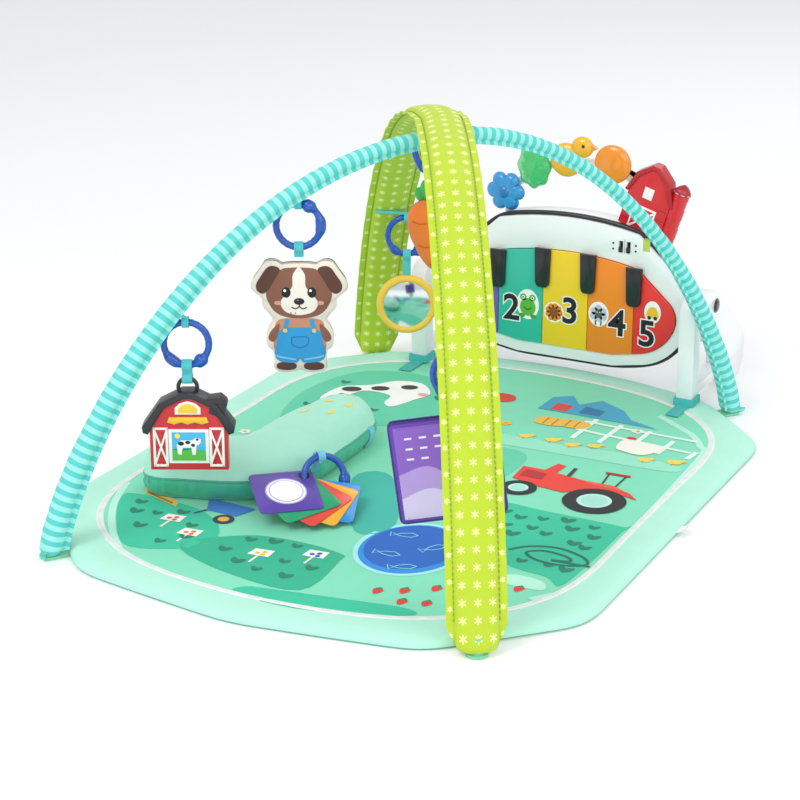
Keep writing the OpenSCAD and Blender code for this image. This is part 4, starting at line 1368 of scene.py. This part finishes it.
def pillow():
    rows = pillow_frame()
    top_cloth = material("A9E6D0", rough=0.9, depth=0.2, grain=40.0, mottle=0.05, sheen=0.15)
    side_cloth = material("45BA98", rough=0.9, depth=0.2, grain=40.0, mottle=0.08, sheen=0.15)
    section = 44
    verts = []
    for i, (mid, side, half, shrink) in enumerate(rows):
        for k in range(section):
            # Points 0 to 9 are the base, 10 to 17 one wall, 18 to 35 the top, 36 to 43 the other wall
            if k < 10:
                u, z = 0.82 * (1 - 2 * k / 9.0), 0.0
            elif k < 18:
                t = (k - 9) / 9.0
                u, z = -0.82 - 0.18 * math.sin(math.pi * t * 0.6), t
            elif k < 36:
                t = (k - 18) / 17.0
                u, z = (-1 + 2 * t) * 0.985, 1 + (1 - abs(2 * t - 1) ** 2.4) ** 0.62
            else:
                t = 1 - (k - 35) / 9.0
                u, z = 0.82 + 0.18 * math.sin(math.pi * t * 0.6), t
            wall = 10 <= k < 18 or k >= 36
            pucker = 3.4 * ripple(i * 0.8, 0.12 * k, 2.0 if k < 30 else 9.0) - 1.0 if wall else 0.0
            if z <= 1:
                height = PILLOW_BASE + z * (PILLOW_SEAM - PILLOW_BASE)
            else:
                height = PILLOW_SEAM + (z - 1) * (PILLOW_TOP - PILLOW_SEAM)
            if 18 < k < 35:
                height += 1.5 * ripple(mid.x / 30 + u, mid.y / 30, 6)
                height += 5.0 * abs(u) ** 5 * shrink * ripple(i * 0.8, 1.2 * u, 3)
            # The whole section draws in round its heart towards the ends
            height = PILLOW_HEART + (height - PILLOW_HEART) * (0.3 + 0.7 * shrink ** 0.8)
            spot = mid + side * (u * half + math.copysign(pucker, u))
            verts.append((spot.x, spot.y, height))
    shape = Shape()
    faces = bands(section, len(rows) - 1)
    last = (len(rows) - 1) * section
    ends = [list(range(section))[::-1], [last + k for k in range(section)]]
    shape.add(verts, [f for f in faces if not 18 <= f[0] % section < 35] + ends, side_cloth)
    shape.add([], [f for f in faces if 18 <= f[0] % section < 35], top_cloth, start=0)
    obj = shape.build("tummy_pillow", "pillow", "pillow_cloth", ["pillow"], 70)
    held = [i for i, v in enumerate(verts) if v[2] < PILLOW_BASE + 1 or i % section in (18, 35)]
    settle(obj, 3.0, 20, held)
    for v in obj.data.vertices:
        v.co.z = max(v.co.z, (PILLOW_BASE - 0.4) * MM)
    piping = Shape()
    for left, right in ((18, 35), (9, 0)):
        line = verts[left::section] + verts[right::section][::-1]
        tube(piping, line, 1.5, webbing("4FB39A"), None, 8, True)
    piping.build("pillow_piping", "pillow", "pillow_cloth", sharp=80)
    back = BVHTree.FromObject(obj, bpy.context.evaluated_depsgraph_get())

    def on_pillow(a, b, lift):
        hit = back.ray_cast(Vector((a, b, 200)) * MM, Vector((0, 0, -1)))[0]
        return Vector((a, b, (hit.z / MM if hit else 60) + lift))
    art = Print(on_pillow, 8.0)
    birds = [(-150, -34), (-120, -16), (-166, -4), (-142, 14), (-114, 20), (-154, 42), (-130, 52)]
    for n, (x, y) in enumerate(birds):
        bird = [(-7, 0), (-2, 3.4), (3, 2.8), (7, 5), (6, 0), (2, -3), (-3, -3)]
        art.blob(turned(bird, x, y, 0.5 + 0.9 * math.sin(n * 1.7)), 3, "F3DB6A", 1)
    art.finish("pillow_bird_print", "pillow", "pillow_cloth")


pillow()


def ribbon(shape, path, side, half, thick, mat):
    """A flat tape along a path. side is the direction of its width."""
    verts = []
    for i, p in enumerate(path):
        t = (path[min(i + 1, len(path) - 1)] - path[max(i - 1, 0)]).normalized()
        n = side.cross(t).normalized()
        verts += [p + side * a * half + n * b * thick / 2 for a,
                  b in ((-1, -1), (1, -1), (1, 1), (-1, 1))]
    last = (len(path) - 1) * 4
    ends = [[3, 2, 1, 0], [last, last + 1, last + 2, last + 3]]
    shape.add(verts, bands(4, len(path) - 1) + ends, mat)


def card_hang():
    """Top of the card ring, its axis, and the level direction towards the pillow."""
    joint = JOINTS["card_ring_swing"]
    side = Vector(joint["axis"]).normalized()
    return Vector(joint["pos_m"]) / MM, side, Vector((-side.y, side.x, 0))


def pillow_ties():
    sky = webbing("7CD0EA")
    shape = Shape()
    high, side, back = card_hang()
    up = Vector((0, 0, 1))
    curl = [high + (back * math.cos(a) + up * math.sin(a)) * 6
            for a in [math.radians(20 + 16 * k) for k in range(20)]]
    path = [high + back * 19 - up * 24, high + back * 17 - up * 10, high + back * 12.5 - up *
            0.5] + curl + [
        high + back * 10 - up * 4, high + back * 15 - up * 13, high + back * 18 - up * 26]
    ribbon(shape, path, side, 4.5, 1.6, sky)
    for x, y, turn in ((-139.8, -194.5, 24.5), (-87.9, 30, 92.4)):
        a = math.radians(turn)
        along = Vector((math.cos(a), math.sin(a), 0))
        out = Vector((math.sin(a), -math.cos(a), 0))
        base = Vector((x, y, 0))
        path = [base - out * 6 + up * 13, base - out * 3 + up * 18, base + out * 0.6 + up * 24, base +
                out * 2 + up * 31,
                base + out * 1.4 + up * 37, base - out * 3 + up * 41]
        ribbon(shape, path, along, 6, 1.5, sky)
    shape.build("pillow_ties", "pillow", "sky_webbing", ["pillow_loops"], 60)


pillow_ties()


# ---- card ring and cards ---------------------------------------------------------------
def card_ring():
    high, side, back = card_hang()
    lean = math.radians(25)
    up = back * math.sin(lean) + Vector((0, 0, math.cos(lean)))
    mid = high - up * LINK_RADIUS
    shape = Shape()
    path, sizes = [], []
    for a in around(96):
        path.append(mid + (side * math.cos(a) + up * math.sin(a)) * LINK_RADIUS)
        off = (math.degrees(a) + 15 + 180) % 360 - 180
        sizes.append(LINK_WIRE + 3.2 * math.exp(-(off / 16) ** 4))
    tube(shape, path, sizes, BLUE, None, 18, True)
    shape.build("card_link", "card_ring", "blue_plastic", ["card_ring"], 60)


card_ring()
for name, code in (("purple", "5A3FA8"), ("green", "1BA06F"), ("red", "E8443A"), ("yellow", "F9B233"),
                   ("blue", "2C8FE0")):
    rounded("card_" + name, material(code, rough=0.3, depth=0.02, grain=60.0, mottle=0.03, coat=0.35),
            0.25)


def card_print():
    node = frame["nodes"]["card_purple"]
    tree = BVHTree.FromPolygons([v.co / MM for v in node.data.vertices],
                                [list(p.vertices) for p in node.data.polygons])
    low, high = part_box("card_purple")
    centre = (low + high) / 2 / MM

    def place(a, b, lift):
        hit, normal = tree.ray_cast(Vector((centre.x + a, centre.y + b, 200)), Vector((0, 0, -1)))[:2]
        return (hit if hit else Vector((centre.x + a, centre.y + b,
                                        centre.z))) + (normal or Vector((0, 0, 1))) * lift
    art = Print(place, 60.0)
    for layer, (radius, code) in enumerate(((25, "B7A4E6"), (23.5, "F4F6FA"), (20.5, "8C7BD0"),
                                            (19.7, WHITE_CODE))):
        art.fill(disc(0, 0, radius, count=48), code, layer)
    art.finish("card_purple_print", "card_purple", "card_purple")


card_print()


# ---- piano -----------------------------------------------------------------------------
PIANO_PLACE = Matrix.Translation((PIANO_X, 0, 0))
ARM_Y = PIANO_Y + 26
WHITE = plastic("F3F5F6", rough=0.34)
BLACK = plastic("1C1D22", rough=0.3)
rounded("piano_housing", WHITE, 1.2)
rounded("piano_bezel", WHITE, 1.0)
PIANO_SPOTS = [(100, 118, 84), (70, 68, 40)] + [(x, 226 - x * x / 900, 12) for x in (0, 25, 50, 75, 100)]
PIANO_SUPPORT = np.array([max(abs(d[0]) * x + d[1] * z + r for x, z, r in PIANO_SPOTS)
                          for d in DIRECTIONS])


def piano_front_details():
    rim = Shape()
    edge = outline_ring(PIANO_SUPPORT, 1.0, (0, 130), 220, 3)
    for depth, radius in ((8.5, 3.6), (12.5, 2.6)):
        tube(rim, [(x, PIANO_Y + depth, z) for x, z in edge], radius, BLACK, PIANO_PLACE, 12, True)
    rim.build("piano_black_rim", "piano", "black_plastic", ["piano_rim"], 60)
    keys = Shape()
    for x in (-102, -34, 34, 102):
        top = 188 - x * x / 900 + 1.5
        low = top - 57 + abs(x) * 0.02
        half = [(12, top), (10.5, low + 8), (9, low + 3), (6, low)]
        outline = [(x - 12, top)] + [(x + a, z) for a, z in half] + [(x - a, z) for a, z in half[:0:-1]]
        slab(keys, outline, PIANO_Y - 8.2, PIANO_Y - 3.4, BLACK, PIANO_PLACE, 1.6, 0.3)
    keys.build("piano_black_keys", "piano", "black_plastic", ["black_keys"])


piano_front_details()
rounded("piano_legs", WHITE, 1.5)
rounded("leg_straps", webbing("3FC0BC"), 0.5)
rounded("battery_door", WHITE, 0.4)
for node in ("mode_switch", "volume_switch", "release_button_left", "release_button_right"):
    rounded(node, BLACK, 0.5)
for k, code in enumerate(("7E57C2", "2DBFA5", "FBD21C", "FB8C14", "EE2F2B"), 1):
    rounded(f"key_{k}", plastic(code, rough=0.35), 0.9)
dress("key_contacts", material("C9C9C9", rough=0.7))
dress("circuit_board", material("1D5A36", rough=0.5))
dress("speaker", material("202226", rough=0.7))
dress("batteries", material("B9BCC0", rough=0.35, metal=1.0))


INK = "1B1B1F"


def frog(art, x, z):
    art.fill(disc(x, z, 17, 22, 30), WHITE_CODE, 0)
    art.fill(disc(x, z - 4, 12, 13, 26), "5DB93F", 2)
    for s in (-1, 1):
        for layer, (radius, count, code) in enumerate(((5, 16, "5DB93F"), (2.6, 12, WHITE_CODE),
                                                       (1.3, 10, INK)), 2):
            art.fill(disc(x + s * 7, z + 10, radius, count=count), code, layer)
        art.fill(disc(x + s * 9, z - 17, 5, 3, 14), "4AA233", 2)
    art.curve([(x - 6, z - 4), (x, z - 8), (x + 6, z - 4)], 5, 1.4, "1D5C1C", 4)


def flower(art, x, z):
    art.fill(disc(x, z, 15, 15, 30), WHITE_CODE, 0)
    for petal_x, petal_z in disc(x, z, 9, count=9):
        art.fill(disc(petal_x, petal_z, 4.4, count=12), "F08A24", 1)
    art.fill(disc(x, z, 7, count=20), "8A5227", 2)


def sheep(art, x, z):
    art.fill(disc(x, z, 15, 18, 30), WHITE_CODE, 0)
    for dx, dz in ((-6, 4), (0, 8), (6, 4), (-7, -3), (7, -3), (0, -5)):
        art.fill(disc(x + dx, z + dz, 5.6, count=16), "C5CBD2", 2)
    art.fill(disc(x, z + 1, 5, 6.4, 18), "5A5A62", 3)
    for s in (-1, 1):
        art.fill(disc(x + s * 2, z + 3, 0.9, count=8), WHITE_CODE, 4)
        art.line([(x + s * 4, z - 9), (x + s * 4, z - 16)], 2, "5A5A62", 3)


def car(art, x, z):
    art.fill(disc(x, z, 12, 16, 30), WHITE_CODE, 0)
    roof = [(-8, -7), (-8, 1), (-3, 7), (4, 7), (8, 0), (8, -7)]
    art.blob([(x + a, z + b) for a, b in roof], 3, "F7C52D", 2)
    for s in (-1, 1):
        art.fill(disc(x + s * 4.4, z - 8, 2.8, count=12), "26303A", 3)


def key_stickers():
    stickers = [("2", (-81, 78), frog, (-56, 103)), ("3", (8, 85), flower, (-16, 97)),
                ("4", (79, 78), sheep, (51, 104)), ("5", (123, 69), car, (130, 118))]
    for figure, place, picture, middle in stickers:
        art = Print(on_face(PIANO_PLACE, PIANO_Y - 3), 200.0)
        art.number(figure, *place, 52, WHITE_CODE, 1, 2.86)
        art.number(figure, *place, 52, INK, 3, 1.144)
        picture(art, *middle)
        key = "key_" + figure
        art.finish(key + "_sticker", key, key)


key_stickers()


def switch_dots_and_panel_shade():
    art = Print(on_face(PIANO_PLACE, PIANO_Y), 200.0)
    for x in (68, 101):
        for z in (200, 208):
            art.fill(disc(x, z, 1.5, count=12), "2B2D33", 1)
    # the dots are print; the thin grey line is painted shade standing for the edge of the raised white
    # switch panel
    art.line([(84.5, 195), (84.5, 215)], 0.7, "9AA0A6", 1)
    art.finish("piano_switch_dots_and_panel_shade", "piano", "white_plastic")


switch_dots_and_panel_shade()


def lens(code, rough=0.2, clear=0.15):
    return material(code, rough=rough, depth=0.01, coat=0.6, mottle=0.05, clear=clear)


def piano_lights():
    arm_y, place = ARM_Y, PIANO_PLACE
    shape = Shape()
    blue, deep, green = lens("2F9BE0", 0.18), lens("1A7CC9"), lens("45C873")
    gold, orange = lens("FBBE22", clear=0.12), lens("FB961C", clear=0.12)
    petals = []
    for a in around(96):
        r = 21.5 + 7.5 * abs(math.cos(3 * a)) ** 0.6
        petals.append((-102 + r * math.cos(a), max(257 + r * math.sin(a), 229.5)))
    cushion(shape, petals, arm_y - 9, 9, 6.8, [blue, deep], place, 8, 2.6, (-102, 257))
    ball(shape, (-102, arm_y - 16, 257), (9, 5, 9), deep, place)
    leaf = []
    for a in around(48):
        r = 1 + 0.05 * math.cos(8 * a)
        leaf.append((-60 + 25 * r * math.cos(a), 297 + 31 * r * math.sin(a)))
    cushion(shape, leaf, arm_y - 8, 10, 5.6, [green, green], place, 7, 2.0, (-60, 297))
    ball(shape, (-11, arm_y - 10, 312), (24, 8.5, 24), gold, place)
    ball(shape, (12, arm_y - 10, 332), (16, 8.5, 15), gold, place)
    slab(shape, [(24, 338), (35, 332), (25, 327)], arm_y - 14, arm_y - 6, orange, place, 1.2)
    ball(shape, (16, arm_y - 18.2, 335), (2.2, 1.4, 2.4), BLACK, place, 8, 12)
    ball(shape, (57, arm_y - 10, 313), (27, 8.6, 27), orange, place)
    shape.build("piano_light_shapes", "piano", "light_lens", ["light_caps"], 60)


piano_lights()


def piano_barn():
    place = Matrix.Translation((PIANO_X + 92, ARM_Y, 229)) @ Matrix.Rotation(math.radians(17), 4, "Y")
    red = plastic("D5242C", rough=0.35)
    white = plastic("F6F4F0", rough=0.4)
    shape = Shape()
    wall = [(-28, -4), (35, -14), (35, 48), (22, 71), (4, 84), (-4, 84), (-20, 71), (-28, 48)]
    slab(shape, wall, -3.2, 15, red, place, 1.2)
    roof = [(-33, 44), (-24, 73), (-5, 90), (5, 90), (26, 74), (40, 44), (35, 43), (22, 68), (4, 83),
            (-4, 83), (-19, 68), (-28, 43)]
    slab(shape, roof, -5.4, 17, plastic("B81C26", rough=0.35), place, 1.0)
    slab(shape, [(-14, -4), (20, -8), (20, 30), (-14, 30)], -4.6, -2.8, white, place, 0.5)
    slab(shape, [(-11.5, -4), (17.5, -8), (17.5, 27.5), (-11.5, 27.5)], -5.2, -4.0, red, place, 0.3)
    for a, b in (((-12, -3), (18, 27)), ((-12, 27), (18, -3))):
        slab(shape, strip([a, b], 2.6), -5.8, -4.4, white, place, 0.3)
    slab(shape, box(-6, 8, 42, 58), -4.6, -2.8, white, place, 0.5)
    # darker red strips on the side walls are painted shade standing for the board grooves
    for z in (6, 20, 34):
        for x0, x1 in ((-27, -16), (22, 34)):
            slab(shape, box(x0, x1, z, z + 0.8), -3.7, -2.8, plastic("9E1820"), place, 0.15)
    silo = [(43, 6, z) for z in (-13, 1, 1.5, 15, 15.5, 29, 29.5, 43, 43.5, 57, 57.5, 67)]
    tube(shape, silo, [10.6, 10.6, 11.2, 11.2] * 3, red, place, 24)
    tube(shape, [(43, 6, 66), (43, 6, 69), (43, 6, 75), (43, 6, 79)], [12.6, 12.2, 7.5, 1.5],
         plastic("A81722", rough=0.35), place, 8)
    shape.build("piano_red_barn", "piano", "red_plastic", sharp=35)


piano_barn()


# ---- floor and finish ------------------------------------------------------------------
bpy.ops.mesh.primitive_plane_add(size=14, location=(0, 0, -0.0004))
floor = bpy.context.object
floor.name = "studio_floor"
floor.data.materials.append(material("F6F7F7", rough=0.85, depth=0.02, grain=3.0, mottle=0.006))
